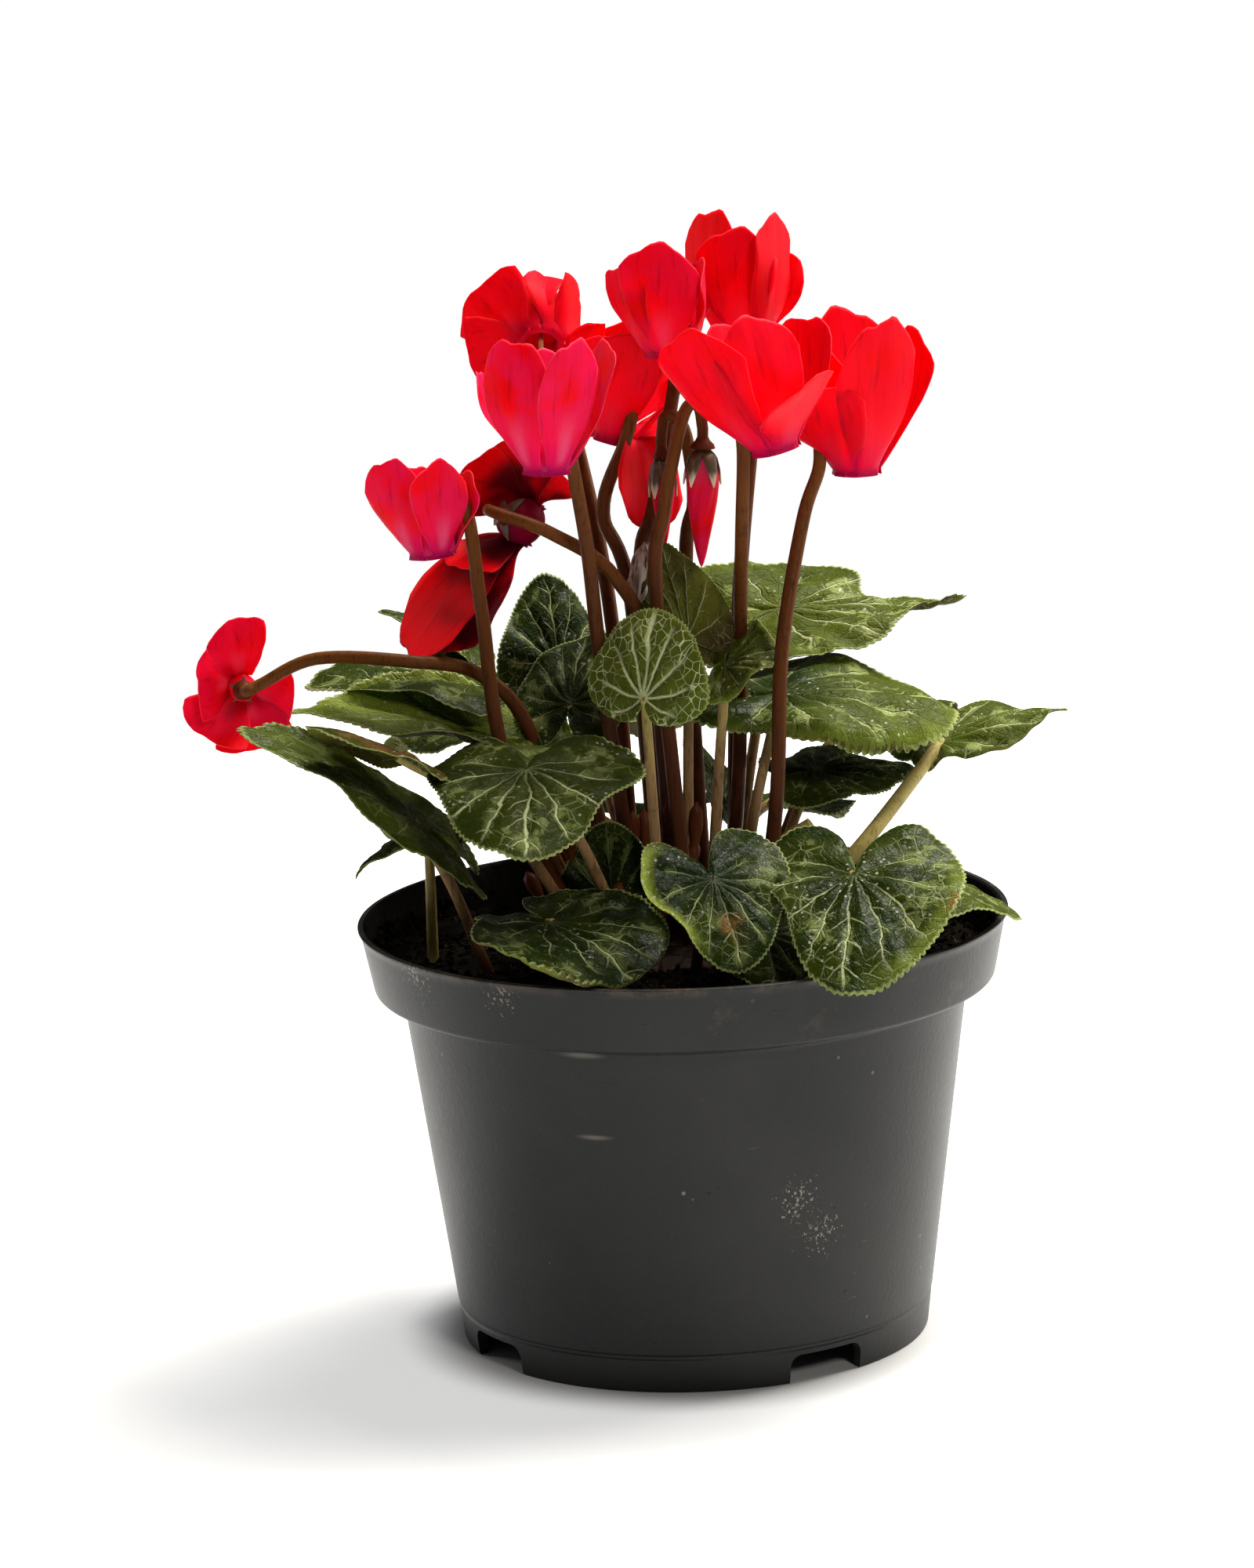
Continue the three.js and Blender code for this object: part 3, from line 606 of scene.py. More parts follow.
leafSkin = leafMaterial()
leafStalkSkin = stalkMaterial("leafStalkSkin", "leafFoot", "leafMid", "leafHead")
flowerStalkSkin = stalkMaterial("flowerStalkSkin", "flowerFoot", "flowerMid", "flowerHead")
petalSkin = petalMaterial()
pistilSkin = pistilMaterial()
driedSkin = driedMaterial()
sepalSkin = sepalMaterial()
print("plant materials made")


# Stalks: a line of points with a thickness, swept into a tube by Geometry Nodes

def stalkTree():
    inputs = {"Line": "Geometry", "Sides": "Int", "Skin": "Material"}
    tree, given = newTree("stalkTube", inputs, "Tube")
    line = addNode(tree, "GeometryNodeMeshToCurve", {0: given["Line"]})
    thick = addNode(tree, "GeometryNodeInputNamedAttribute", {"Name": "thick"}, data_type="FLOAT")
    ring = addNode(tree, "GeometryNodeCurvePrimitiveCircle", {"Radius": 1.0, "Resolution": given["Sides"]})
    sweep = {
        "Curve": line.outputs[0],
        "Profile Curve": ring.outputs["Curve"],
        "Scale": thick.outputs["Attribute"],
        "Fill Caps": True,
    }
    return endTree(tree, given, addNode(tree, "GeometryNodeCurveToMesh", sweep).outputs[0])


stalkTube = stalkTree()


def makeStalks(name, paths, radii, skin, tone, sides):
    starts = np.cumsum([0] + [len(p) for p in paths])
    steps = [(s + i, s + i + 1) for s, p in zip(starts, paths) for i in range(len(p) - 1)]
    line = bpy.data.meshes.new(name + "Line")
    line.from_pydata((np.concatenate(paths) * mm).tolist(), steps, [])
    along = np.concatenate([np.linspace(0, 1, len(p)) for p in paths])
    tones = np.full(starts[-1], tone)
    floatLayers(line, {"thick": np.concatenate(radii) * mm, "along": along, "tone": tones})
    return grown(linked(name + "Line", line), stalkTube, {"Sides": sides, "Skin": skin}, name)


def makeStalk(name, path, radii, skin, tone, sides):
    return makeStalks(name, [path], [radii], skin, tone, sides)


# Leaves: every blade starts where its stalk meets it, and runs to its tip

# foot of the stalk, base and tip of the blade, turn, wide, arch, cup, wave, and how light and olive it is
leafKeys = ("foot", "base", "tip", "turn", "wide", "arch", "cup", "wave", "tone")
leafRows = [
    ((-4, -12), (-6, -24, 133), (-3, -20, 151), 0, 0.92, 0.5, -1, 0.4, 0.9),
    ((9, -13), (21, 4, 128), (58, 6, 120), 8, 0.92, 3, -3, 1.5, 1.0),
    ((5, 1), (10, -9, 136), (21, -16, 138), 30, 1, 1, -2, 1.2, 0.8),
    ((9, 14), (22, 37, 139), (63, 38, 137), 24, 0.62, 1, -2, 1.2, 1.0),
    ((16, 6), (53, 14, 115), (79, 18, 119), 8, 0.9, 2, -4, 1.5, 0.9),
    ((14, -3), (27, 4, 112), (47, 8, 110), 12, 0.9, 1, -2, 1, 0.3),
    ((1, 6), (3, -3, 141), (-2, -6, 161), 50, 0.62, 1, 1, 1, 0.8),
    ((-6, 13), (-23, 22, 131), (-26, 34, 148), 0, 0.8, 1, -2, 1.5, 0.05),
    ((-10, 1), (-21, 4, 127), (-17, 18, 139), 0, 0.85, 1, -1, 1, 0.1),
    ((-15, 6), (-41, 14, 130), (-74, 11, 131), 0, 0.75, 2, -2, 1, 0.4),
    ((-18, -2), (-37, -2, 122.5), (-76, -6, 128.5), 0, 0.52, 2, -1, 1.5, 0.9),
    ((-15, -11), (-54, -26, 124), (-64, -34, 130), 0, 1, 0.5, -1, 0.6, 0.6),
    ((-38, -13), (-52, -16, 109), (-85, -22, 130), -10, 0.7, 2, -1, 1, 0.1),
    ((-9, -12), (-29, -30, 121), (-29, -55, 107), 0, 1.02, 2, -2, 1, 0.4),
    ((-13, -15), (-26, -35, 92), (-7, -54, 82), 0, 0.95, 2, 2, 0.6, 0.0),
    ((-10, -7), (-14, -10, 90), (-14, -12, 107), 0, 0.5, 1, 1, 0.6, 0.0),
    ((2, -20), (6, -47, 102), (11, -58, 86), 0, 1, 1.5, -1, 0.8, 0.0),
    ((11, -15), (33, -42, 101), (30, -68, 82), 0, 0.88, 2, -1, 0.8, 0.1),
    ((7, -17), (16, -34, 88), (17, -54, 81), 0, 0.9, 0.5, 0, 0.6, 0.1),
    ((17, -8), (48, -22, 95), (66, -28, 88), -10, 0.7, 1, -3, 0.8, 0.7),
    ((-50, -1), (-50, 0, 102), (-65, 0, 94), 0, 0.5, 2, -1, 0.5, 0.3),
    ((4, 17), (9, 23, 104), (1, 25, 115), 0, 0.9, 1, 0, 0.5, 0.5),
    ((-12, 12), (-44, 36, 135), (-60, 38, 141), 0, 0.8, 1, 0, 0.5, 0.3),
    ((13, 12), (39, 42, 118), (57, 61, 110), 0, 0.9, 3, -2, 1.5, 0.6),
    ((0, 17), (-2, 50, 118), (-4, 76, 106), 0, 0.92, 3, -2, 1.5, 0.5),
    ((-9, 15), (-40, 43, 116), (-60, 57, 106), 0, 0.9, 3, -2, 1.5, 0.7),
    ((7, 17), (20, 50, 97), (30, 68, 88), 0, 1, 2, -1, 1, 0.2),
    ((-5, 17), (-20, 50, 96), (-30, 66, 88), 0, 1, 2, -1, 1, 0.3),]
# Margins that roll over: angle from the midrib, half width, share where the roll starts, turn in degrees
# Dents pull a margin in: angle from the midrib, half width, share; a share below 0 is a bulge
# Lime on a margin: angle, half width, share where it starts, strength; rust and painted shade: place and radius
leafExtras = {
    0: {
        "lobe": 0.4, "mark": 2.4, "slim": 0.34, "lime": [(0, 360, -1, 0.22), (0, 360, 0.9, 0.75)],
        "pointed": 0, "dents": [(0, 30, 0.06), (-80, 40, -0.1), (80, 40, -0.1)],
    },
    # leaf_02 gets painted shade near its base
    1: {
        "lobe": 0.85, "rolls": [(-85, 85, 0.82, -110)], "pointed": 0.05,
        "dents": [(-108, 30, 0.42), (-160, 26, -0.25), (0, 14, 0.06)],
        "mark": 0.5, "paintedShadeSpots": [(-0.15, 0.1, 0.75)], "lime": [(-70, 80, 0.84, 0.45)],
    },
    2: {"lobe": 0.5, "rolls": [(105, 80, 0.2, 60)], "dents": [(110, 48, -0.7)], "lime": [(0, 360, 0.86, 0.6)]},
    3: {"twist": -24, "dents": [(30, 20, 0.38), (-24, 16, 0.2)], "rolls": [(0, 30, 0.86, 40)]},
    4: {
        "lobe": 0.7, "rolls": [(-60, 60, 0.84, 80)], "dents": [(-112, 45, 0.45)],
        "stalkTone": 1.0, "stalkBend": (0, -24, -4), "stalkWidth": 1.4,
    },
    6: {"lobe": 0.5},
    9: {"lobe": 0.4, "rolls": [(-85, 80, 0.4, 22)], "mark": 0.5},
    10: {
        "lobe": 0.6, "rolls": [(-85, 85, 0.3, 40)], "dents": [(150, 40, -0.4), (-150, 40, -0.4)],
        "lime": [(-60, 120, -1, 0.5)],
    },
    11: {"narrow": 1.3, "dents": [(0, 60, -0.5)], "rust": [(0.3, 0, 1.6)], "mark": 0.5},
    12: {"narrow": 0.85, "lime": [(0, 360, -1, 0.2)], "mark": 0.4},
    13: {"dents": [(-62, 40, 0.2), (48, 32, 0.22), (112, 26, -0.12)], "pointed": 0, "mark": 1.3, "slim": 0.7},
    14: {
        "rolls": [(0, 100, 0.93, 100)], "dents": [(-58, 36, -0.34), (-120, 30, 0.3), (4, 24, 0.1)],
        "pointed": 0,
    },
    # leaf_16 stands in shadow: its underside takes the top's dark green and its veins are faint, a painted shade
    15: {"narrow": 1.7, "below": 0, "mark": 0.25},
    16: {
        "rolls": [(-80, 60, 0.84, 75)], "dents": [(126, 34, -0.34), (-140, 30, -0.12)],
        "lime": [(-85, 70, 0.76, 0.9)], "rust": [(0.55, 0.02, 0.2)],
    },
    17: {"dents": [(-56, 36, 0.3)], "pointed": 0.06, "rust": [(0.3, 0.75, 0.16)], "lime": [(60, 60, 0.8, 0.3)]},
    19: {"narrow": 2.0, "mark": 0.4},
    20: {"stalkTone": 0.8},
}
leaves = [{**dict(zip(leafKeys, row)), **leafExtras.get(i, {})} for i, row in enumerate(leafRows)]

leafForm = {
    "heart": [1, 0.9, 0.8, 0.75, 0.67, 0.54, 0.1],  # margin reach every 30 degrees from the midrib
    "rounds": 320,
    "rings": [0.05, 0.12, 0.2, 0.28, 0.36, 0.44, 0.52, 0.6, 0.68, 0.76, 0.83, 0.89, 0.94, 0.975, 1.0],
    "edge": 1.004,
    "halfThickness": 0.3,
    "edgeThinning": 0.6,
    "waves": 5,
    "ripple": 0.017,
    "rippleScale": 1.6,
    "toothDepth": 0.015,
    "toothLength": 0.055,
    "pointed": 0.13,
    "shoulder": (0.75, 0.5),  # angle and breadth in radians of the place that a pointed leaf draws in
    "quilt": 0.5,
    "grooveWidth": 0.07,
    "edgeUnder": 0.3,  # how much of the underside's colour the edge has
    "limeFade": 0.15,
    "mark": 0.85,
    "slim": 0.85,
    "stalkFoot": 75,
    "stalkRadius": 1.2,
    "stalkTaper": 0.2,
    "stalkFlare": 0.25,
    "stalkSteps": 12,
    "stalkSides": 12,
    "kneeRise": 0.22,
}


def marginShare(angle):
    h = np.array(leafForm["heart"])
    steps = np.abs(angle) / math.pi * (len(h) - 1)
    i = np.minimum(np.floor(steps).astype(int), len(h) - 2)
    return curveThrough(h[np.maximum(i - 1, 0)], h[i], h[i + 1], h[np.minimum(i + 2, len(h) - 1)], steps - i)


def bladeFrame(leaf):
    base = np.array(leaf["base"], dtype=float)
    reach = np.array(leaf["tip"], dtype=float) - base
    length = np.linalg.norm(reach)
    along = reach / length
    face = unit(np.array([0, 0, 1.0]) - along * along[2])
    face = turnedAbout(face, along, math.radians(leaf["turn"]))
    return base, along, length, face, np.cross(face, along)


# Ripples of several sizes, never repeating over one blade
def wobble(x, y, seed):
    return (
        np.sin(5.1 * x + 3.3 * y + seed) * np.cos(4.2 * y - 2.6 * x + 1.7 * seed)
        + 0.6 * np.sin(9.7 * y + 2.1 * x + 2.3 * seed) * np.cos(8.3 * x + seed)
        + 0.35 * np.sin(17.0 * x + 11.0 * y + 3.1 * seed)
    )


def veinGroove(x, y):
    near = np.abs(y)
    for degrees, reach, bend, _ in leafFinish["sideVeins"]:
        angle = math.radians(degrees)
        out = x * math.cos(angle) + np.abs(y) * math.sin(angle)
        off = np.abs(y) * math.cos(angle) - x * math.sin(angle) + out * out * bend
        near = np.where((out > 0) & (out < reach), np.minimum(near, np.abs(off)), near)
    return near


def toothWave(angle):
    fine = np.linspace(0, math.pi, 400)
    reach = marginShare(fine)
    steps = np.hypot(np.diff(reach * np.cos(fine)), np.diff(reach * np.sin(fine)))
    arc = np.concatenate([[0], np.cumsum(steps)])
    phase = np.interp(np.abs(angle), fine, arc) / leafForm["toothLength"]
    return np.abs(np.sin(math.pi * phase)) ** 0.8 * 2 - 1.2


# Bends the margin along an arc: how far out each point stays, how far it leaves the blade, and its lift
def rolledMargin(leaf, degrees, share, lift, scale):
    spread = share.copy()
    curl = np.zeros_like(share)
    for centre, half, start, turn in leaf.get("rolls", []):
        window = 1 - softStep(np.abs(degrees - centre), half * 0.4, half)
        over = np.clip(share - start, 0, None)
        radius = (1 - start) / (np.radians(abs(turn)) * window + 1e-6)
        bend = over / radius
        spread = np.where(over > 0, start + radius * np.sin(bend), spread)
        curl = np.where(over > 0, math.copysign(1, turn) * radius * (1 - np.cos(bend)) * scale, curl)
        lift = np.where(over > 0, lift * np.cos(bend), lift)
    return spread, curl, lift


def bladePoints(leaf, angle, share, lift, seed):
    base, along, length, face, side = bladeFrame(leaf)
    degrees = np.degrees(angle)
    lobe = 1 - (1 - leaf.get("lobe", 1)) * np.maximum(0, -np.cos(angle))
    point = leaf.get("pointed", leafForm["pointed"])
    turn, breadth = leafForm["shoulder"]
    margin = marginShare(angle) * lobe * (1 - point * np.exp(-(((np.abs(angle) - turn) / breadth) ** 2)))
    for centre, half, amount in leaf.get("dents", []):
        margin = margin * (1 - amount * np.exp(-(((degrees - centre) / half) ** 2)))
    share = share * (1 + leafForm["toothDepth"] * toothWave(angle) * share**8)
    spread, curl, lift = rolledMargin(leaf, degrees, share, lift, margin * length)
    reach = margin * spread
    u = reach * np.cos(angle)
    v = reach * np.sin(angle) * leaf["wide"] * leaf.get("narrow", 1)
    bow = leaf["arch"] * 4 * u * np.where(u > 0, 1 - u, 1)
    dish = leaf["cup"] * v * v * 2
    wave = leaf["wave"] * share**2 * np.sin(leafForm["waves"] * angle + leaf["base"][0])
    flat = (margin * share * np.cos(angle), margin * share * np.sin(angle))
    scale, groove = leafForm["rippleScale"], leafForm["grooveWidth"]
    ripple = leafForm["ripple"] * length * wobble(flat[0] * scale, flat[1] * scale, seed)
    ripple = ripple * softStep(share, 0.1, 0.8)
    quilt = leafForm["quilt"] * (softStep(veinGroove(*flat), 0.0, groove) - 0.6) * softStep(share, 0.02, 0.2)
    quilt = quilt * (1 - softStep(share, 0.8, 1.0))
    twist = np.radians(leaf.get("twist", 0) * u)
    sideways = turnedAbout(side, along, twist)
    faceways = turnedAbout(face, along, twist)
    height = (bow + dish + wave + ripple + quilt + curl + lift)[..., None]
    points = base + along * (u * length)[..., None] + sideways * (v * length)[..., None] + faceways * height
    return points, np.stack(flat, axis=-1)


# How far each of the blade's points is from the nearest spot: 0 in its middle, 1 outside
def awayFrom(spots, flat):
    away = np.ones(len(flat))
    for x, y, radius in spots:
        away = np.minimum(away, softStep(np.hypot(flat[:, 0] - x, flat[:, 1] - y), radius * 0.3, radius))
    return away


def bladeFaces(rings, rounds):
    layer, last = 1 + rings * rounds, 1 + (rings - 1) * rounds
    faces = gridFaces(rings, rounds, 1, closed=True, flipped=True)
    faces += gridFaces(rings, rounds, layer + 1, closed=True)
    for j in range(rounds):
        k = (j + 1) % rounds
        faces.append((0, 1 + j, 1 + k))
        faces.append((layer, layer + 1 + k, layer + 1 + j))
        faces.append((last + j, 2 * layer + j, 2 * layer + k, last + k))
        faces.append((2 * layer + j, layer + last + j, layer + last + k, 2 * layer + k))
    return faces


# Top and underside, each from its middle out, and the edge between them
def makeBlade(leaf, name, seed):
    rounds = leafForm["rounds"]
    angles = 2 * math.pi * np.arange(rounds) / rounds - math.pi
    angle, share = np.meshgrid(angles, np.array(leafForm["rings"]))
    half = leafForm["halfThickness"] * (1 - leafForm["edgeThinning"] * share**6)
    zero = np.zeros((1, 1))
    points, places, shares, unders = [], [], [], []
    for lift, under in ((1, 0), (-1, leaf.get("below", 1))):
        grid, flat = bladePoints(leaf, angle, share, half * lift, seed)
        middle, _ = bladePoints(leaf, zero, zero, zero + leafForm["halfThickness"] * lift, seed)
        points += [middle.reshape(-1, 3), grid.reshape(-1, 3)]
        places += [np.zeros((1, 2)), flat.reshape(-1, 2)]
        shares += [[0.0], share.ravel()]
        unders.append(np.full(1 + share.size, under))
    zero = np.zeros((1, rounds))
    edge, flat = bladePoints(leaf, angles[None, :], zero + leafForm["edge"], zero, seed)
    points.append(edge.reshape(-1, 3))
    places.append(flat.reshape(-1, 2))
    shares.append(np.ones(rounds))
    unders.append(np.full(rounds, leafForm["edgeUnder"]))
    flat, away = np.concatenate(places), np.concatenate(shares)
    turned = np.degrees(np.arctan2(flat[:, 1], flat[:, 0]))
    lime = np.zeros(len(flat))
    for centre, spread, start, amount in leaf.get("lime", []):
        window = 1 - softStep(np.abs(turned - centre), spread * 0.4, spread)
        lime = np.maximum(lime, amount * window * softStep(away, start, start + leafForm["limeFade"]))
    floats = {
        "share": away,
        "under": np.concatenate(unders),
        "lime": lime,
        "rust": 1 - awayFrom(leaf.get("rust", []), flat),
        # painted shade: inside each listed spot the tone falls towards the heart's dark green
        "tone": leaf["tone"] * awayFrom(leaf.get("paintedShadeSpots", []), flat),
        "mark": np.full(len(flat), leaf.get("mark", leafForm["mark"])),
        "slim": np.full(len(flat), leaf.get("slim", leafForm["slim"])),
    }
    faces = bladeFaces(len(leafForm["rings"]), rounds)
    return meshPiece(name, np.concatenate(points), faces, [leafSkin], floats, flat)


def makeLeafStalk(leaf, name):
    foot = np.array([*leaf["foot"], leafForm["stalkFoot"]], dtype=float)
    base, _, _, face, _ = bladeFrame(leaf)
    end = base - leafForm["halfThickness"] * face
    knee = (foot + end) / 2
    knee[2] += np.hypot(*(end - foot)[:2]) * leafForm["kneeRise"]
    knee = knee + leaf.get("stalkBend", (0, 0, 0))
    path = smoothPath([foot, knee, end], leafForm["stalkSteps"])
    t = np.linspace(0, 1, len(path))
    flare = 1 + leafForm["stalkFlare"] * softStep(1 - t, 0.94, 1)
    radii = leafForm["stalkRadius"] * leaf.get("stalkWidth", 1) * (1 - leafForm["stalkTaper"] * t) * flare
    return makeStalk(name, path, radii, leafStalkSkin, leaf.get("stalkTone", 0.0), leafForm["stalkSides"])


for i, leaf in enumerate(leaves):
    node = f"leaf_{i + 1:02d}"
    finish(makeBlade(leaf, node + "_blade", 1.0 + i), "leaf", node)
    finish(makeLeafStalk(leaf, node + "_stalk"), "leaf", node)
print("leaves made:", len(leaves))


# Blooms: the mouth faces away from up, and the petals fold back to their tips

blooms = [
    {
        "mouth": (16, 12, 197), "up": (0, 0.1, 1), "width": 12,
        "tips": [(10, 12, 224), (15, 4, 221), (23, 8, 223), (24, 20, 214), (12, 24, 217)],
        "stem": [(10, 9), (13, 15, 140), (18, 20, 185)],
    },
    {
        "mouth": (1, -1, 197), "up": (0, 0, 1), "width": 12,
        "tips": [(-8, -4, 215), (0, -9, 220), (8, -2, 216), (4, 12, 214), (-5, 10, 211)],
        "stem": [(-2, 3), (-6, 3, 149), (-3, 4, 166), (2, 7, 190)],
    },
    {
        "mouth": (21, -24, 181), "up": (-0.25, 0, 1), "width": 14,
        "tips": [(4, -34, 206), (16, -30, 208), (28, -18, 206), (27, -42, 196), (10, -12, 204)],
        "stem": [(8, 3), (12, 4, 110), (13, 2, 135), (14, -15, 163)],
    },
    {
        "mouth": (37, -4, 173), "up": (0, 0, 1), "width": 14,
        "tips": [(29, -8, 201), (28, -18, 192), (42, -18, 205), (35, 12, 204), (48, 0, 201)],
        "stem": [(14, -8), (19, -18, 110), (21, -17, 140), (26, -8, 164)],
    },
    {
        "mouth": (-24, 10, 198), "up": (0, 0.85, 0.5), "width": 14,
        "tips": [(-37, 14, 209), (-27, 22, 210), (-16, 18, 206), (-38, 10, 194), (-14, 12, 193)],
        "stem": [(-9, 9), (-12, 15, 140), (-18, 26, 176)],
    },
    {
        "mouth": (-23, -22, 178), "up": (0, 0, 1), "width": 11,
        "tips": [(-29, -29, 205), (-17, -34, 205), (-11, -20, 203), (-24, -8, 200), (-36, -14, 197)],
        "stem": [(-8, -4), (-14, -8, 134), (-16, -12, 160)],
    },
    {
        "mouth": (-11, 17, 178), "up": (0.3, 0, 1), "width": 13,
        "tips": [(-14, 18, 200), (-4, 27, 200), (5, 15, 192), (-4, 7, 161), (5, 20, 179)],
        "stem": [(-4, 8), (-8, 9, 146), (-13, 11, 164)],
    },
    {
        "mouth": (-46, -12, 161), "up": (-0.1, 0, 1), "width": 10,
        "tips": [(-54, -18, 181), (-44, -21, 181), (-39, -10, 177), (-50, -1, 177), (-57, -8, 174)],
        "stem": [(-17, -6), (-33, -14, 117), (-37, -13, 149)],
    },
    {
        "mouth": (-28, 8, 163), "up": (-0.6, -0.7, 0.35), "width": 12, "shortHook": True,
        "tips": [(-28, 6, 181), (-41, 3, 174), (-43, 0, 156), (-53, 0, 138), (-21, 12, 172)],
        "stem": [(-1, -3), (-4, -4, 134), (-11, -6, 154), (-23, -6, 163)],
    },
    {
        "mouth": (-86, 8, 132), "up": (0.1, -1, 0.1), "width": 12, "shortHook": True,
        "tips": [(-87, 2, 147), (-97, 1, 137), (-95, 1, 122), (-83, 3, 120), (-75, 4, 129)],
        "stem": [(-14, 2), (-28, 2, 120), (-38, -4, 135), (-52, -8, 139), (-70, -7, 140)],
    },
]
buds = [
    {
        "top": (7, -10, 180), "tip": (6, -10, 156), "radius": 3.1,
        "stem": [(2, -9), (-3, -10, 149), (-1, -10, 167), (2, -10, 181)],
    },
    {
        "top": (-1, -2, 177), "tip": (-1, -3, 159), "radius": 2.3,
        "stem": [(5, 5), (3, 8, 150), (5, 4, 167), (4, -2, 180)],
    },
]

petalForm = {
    "rows": 30,
    "columns": 17,
    "halfThickness": 0.2,
    "width": ([0, 0.12, 0.3, 0.5, 0.7, 0.85, 1], [0.38, 0.55, 0.94, 1.22, 1.36, 1.34, 1.16]),
    "tipRound": 0.27,
    "nicks": 0.026,
    "twist": 20,
    "cup": (0.32, 0.14),
    "ruffle": 0.9,
    "crease": -0.25,
    "creaseWidth": 0.12,
    # places out from and up the mouth: the lip's points, the petal's root, and the way it leaves the root
    "lip": [(3.0, 2.6), (3.1, 1.0), (3.45, -0.25), (4.0, -0.55)],
    "root": (4.5, 0.3),
    "way": (0.6, 0.8),
    "lipSpread": 35,
    # shares of the petal's length: how far it rises, comes back from its tip and bows out there
    "rise": 0.36,
    "back": 0.3,
    "bow": 0.06,
    "fade": (0.4, 0.72),
}
nose = {
    "profile": [
        (0.0, 7.0), (1.2, 6.95), (2.4, 6.55), (3.4, 5.8), (4.1, 4.6), (4.5, 3.2), (4.65, 1.7), (4.6, 0.5),
        (4.3, -0.3), (3.8, -0.6), (3.3, -0.3), (3.0, 0.8), (2.9, 3.0), (2.0, 4.8), (0.0, 5.6),
    ],
    "sides": 40,
    "ripple": 0.035,
}
pistil = {"profile": [(0.5, 5.0), (0.5, 0.0), (0.42, -2.2), (0.6, -2.6), (0.3, -3.0)], "sides": 10, "shown": [4]}
stemForm = {
    "foot": 75,
    "radius": 1.5,
    "taper": 0.3,
    "flare": 2.1,
    "flareReach": (0.2, 2.2),
    "steps": 8,
    "endSteps": 5,
    "sides": 14,
    "hook": [(8, 1), (7.4, 8), (4, 13), (0.8, 13), (0, 10), (0, 6.9)],
    "budHook": [(3, 7.4), (0.8, 7.4), (0, 3.2), (0, -0.6)],
}
calyxForm = {
    # length, width and lift of a sepal
    "bloom": (4.6, 1.15, 0.12),
    "bud": (8.5, 1.5, 0.25),
    "sepals": 5,
    "rows": 9,
    "columns": 5,
    "start": 0.3,
    "outline": ([0, 0.25, 0.6, 1], [0.7, 1, 0.72, 0.04]),
    "tipLift": 0.5,
    "halfThickness": (0.13, 0.05),
    "bloomFade": 0.6,
}
# how pink each bloom's petals are, how dark their painted shade is, and how purple they are at the mouth
bloomTints = [
    (0.1, 0, 0.8), (0.4, 0, 0.6), (0.15, 0, 0.8), (0.1, 0, 0.8), (0.1, 0, 0.15),
    (0.8, 0, 1), (0.15, 0, 0.6), (0.8, 0, 0.9), (0, 0.95, 0.3), (0.35, 0, 0),
]
# more petals than the solid has: bloom 7's belongs to a bloom right behind it
extraPetals = {6: [(-7, 3, 201)], 4: [(-21, 20, 208)], 8: [(-45, -3, 139)]}
# bloom and petal: times the usual width, and a tip that differs a little from the solid's
petalWidths = {
    (8, 3): 1.35, (8, 5): 1.5, (6, 3): 0.95, (6, 0): 1.3, (6, 1): 1.3, (4, 4): 1.15, (9, 0): 0.8,
}
petalTips = {(9, 1): (-94.5, 1, 135), (9, 2): (-93.5, 1, 123), (9, 4): (-76, 3, 127)}
# where along a petal its painted shade stops
paintedShadeStops = {(8, 3): (0.25, 0.55), (8, 5): (0.9, 1.2)}
calyxSizes = {9: 0.45}
noseSizes = {9: 0.6}


# Any two directions square to an axis, and the axis, as rows
def squareTo(axis):
    axis = unit(axis)
    start = np.array([0, 0, 1.0])
    if axis[2] < -0.999:
        return np.array([[1.0, 0, 0], [0, -1.0, 0], axis])
    turn = np.cross(start, axis)
    cosine = axis[2]
    cross = np.array([[0, -turn[2], turn[1]], [turn[2], 0, -turn[0]], [-turn[1], turn[0], 0]])
    return (np.eye(3) + cross + cross @ cross / (1 + cosine)).T


def bezier(points, t):
    a, b, c, d = points
    t = np.asarray(t)[..., None]
    place = a * (1 - t) ** 3 + b * 3 * t * (1 - t) ** 2 + c * 3 * t**2 * (1 - t) + d * t**3
    slope = (b - a) * 3 * (1 - t) ** 2 + (c - b) * 6 * t * (1 - t) + (d - c) * 3 * t**2
    return place, slope / np.linalg.norm(slope, axis=-1, keepdims=True)


# Two layers of one grid, closed round their border
def sheetFaces(rows, columns, start):
    layer = rows * columns
    faces = gridFaces(rows, columns, start) + gridFaces(rows, columns, start + layer, flipped=True)
    edge = list(range(columns)) + [i * columns + columns - 1 for i in range(1, rows)]
    edge += [(rows - 1) * columns + j for j in range(columns - 2, -1, -1)]
    edge += [i * columns for i in range(rows - 2, 0, -1)]
    for k, a in enumerate(edge):
        b = edge[(k + 1) % len(edge)]
        faces.append((start + a, start + a + layer, start + b + layer, start + b))
    return faces


# Rings closed at both ends by a point; those two points come last
def closedFaces(rings, sides):
    faces = gridFaces(rings, sides, closed=True, flipped=True)
    last, pole = (rings - 1) * sides, rings * sides
    for j in range(sides):
        k = (j + 1) % sides
        faces += [(pole, j, k), (pole + 1, last + k, last + j)]
    return faces


# A grid over a petal or a sepal: from 0 to 1 along it, from -1 to 1 across it
def sheetGrid(rows, columns):
    return np.meshgrid(np.linspace(0, 1, rows), np.linspace(-1, 1, columns), indexing="ij")


# A petal's lengthwise curve bows up from the nose and comes down on its tip
def petalCurve(bloom, tip, mouthSize):
    mouth = np.array(bloom["mouth"], dtype=float)
    up = unit(bloom["up"])
    end = np.array(tip, dtype=float)
    reach = end - mouth
    outward = unit(reach - up * np.dot(reach, up))
    out, rising = petalForm["root"]
    root = mouth + outward * out * mouthSize + up * rising
    length = np.linalg.norm(root - end)
    out, rising = petalForm["way"]
    leaving = root + (up * rising + outward * out) * length * petalForm["rise"]
    arriving = end + (root - end) * petalForm["back"] + outward * length * petalForm["bow"]
    return mouth, up, outward, (root, leaving, arriving, end)


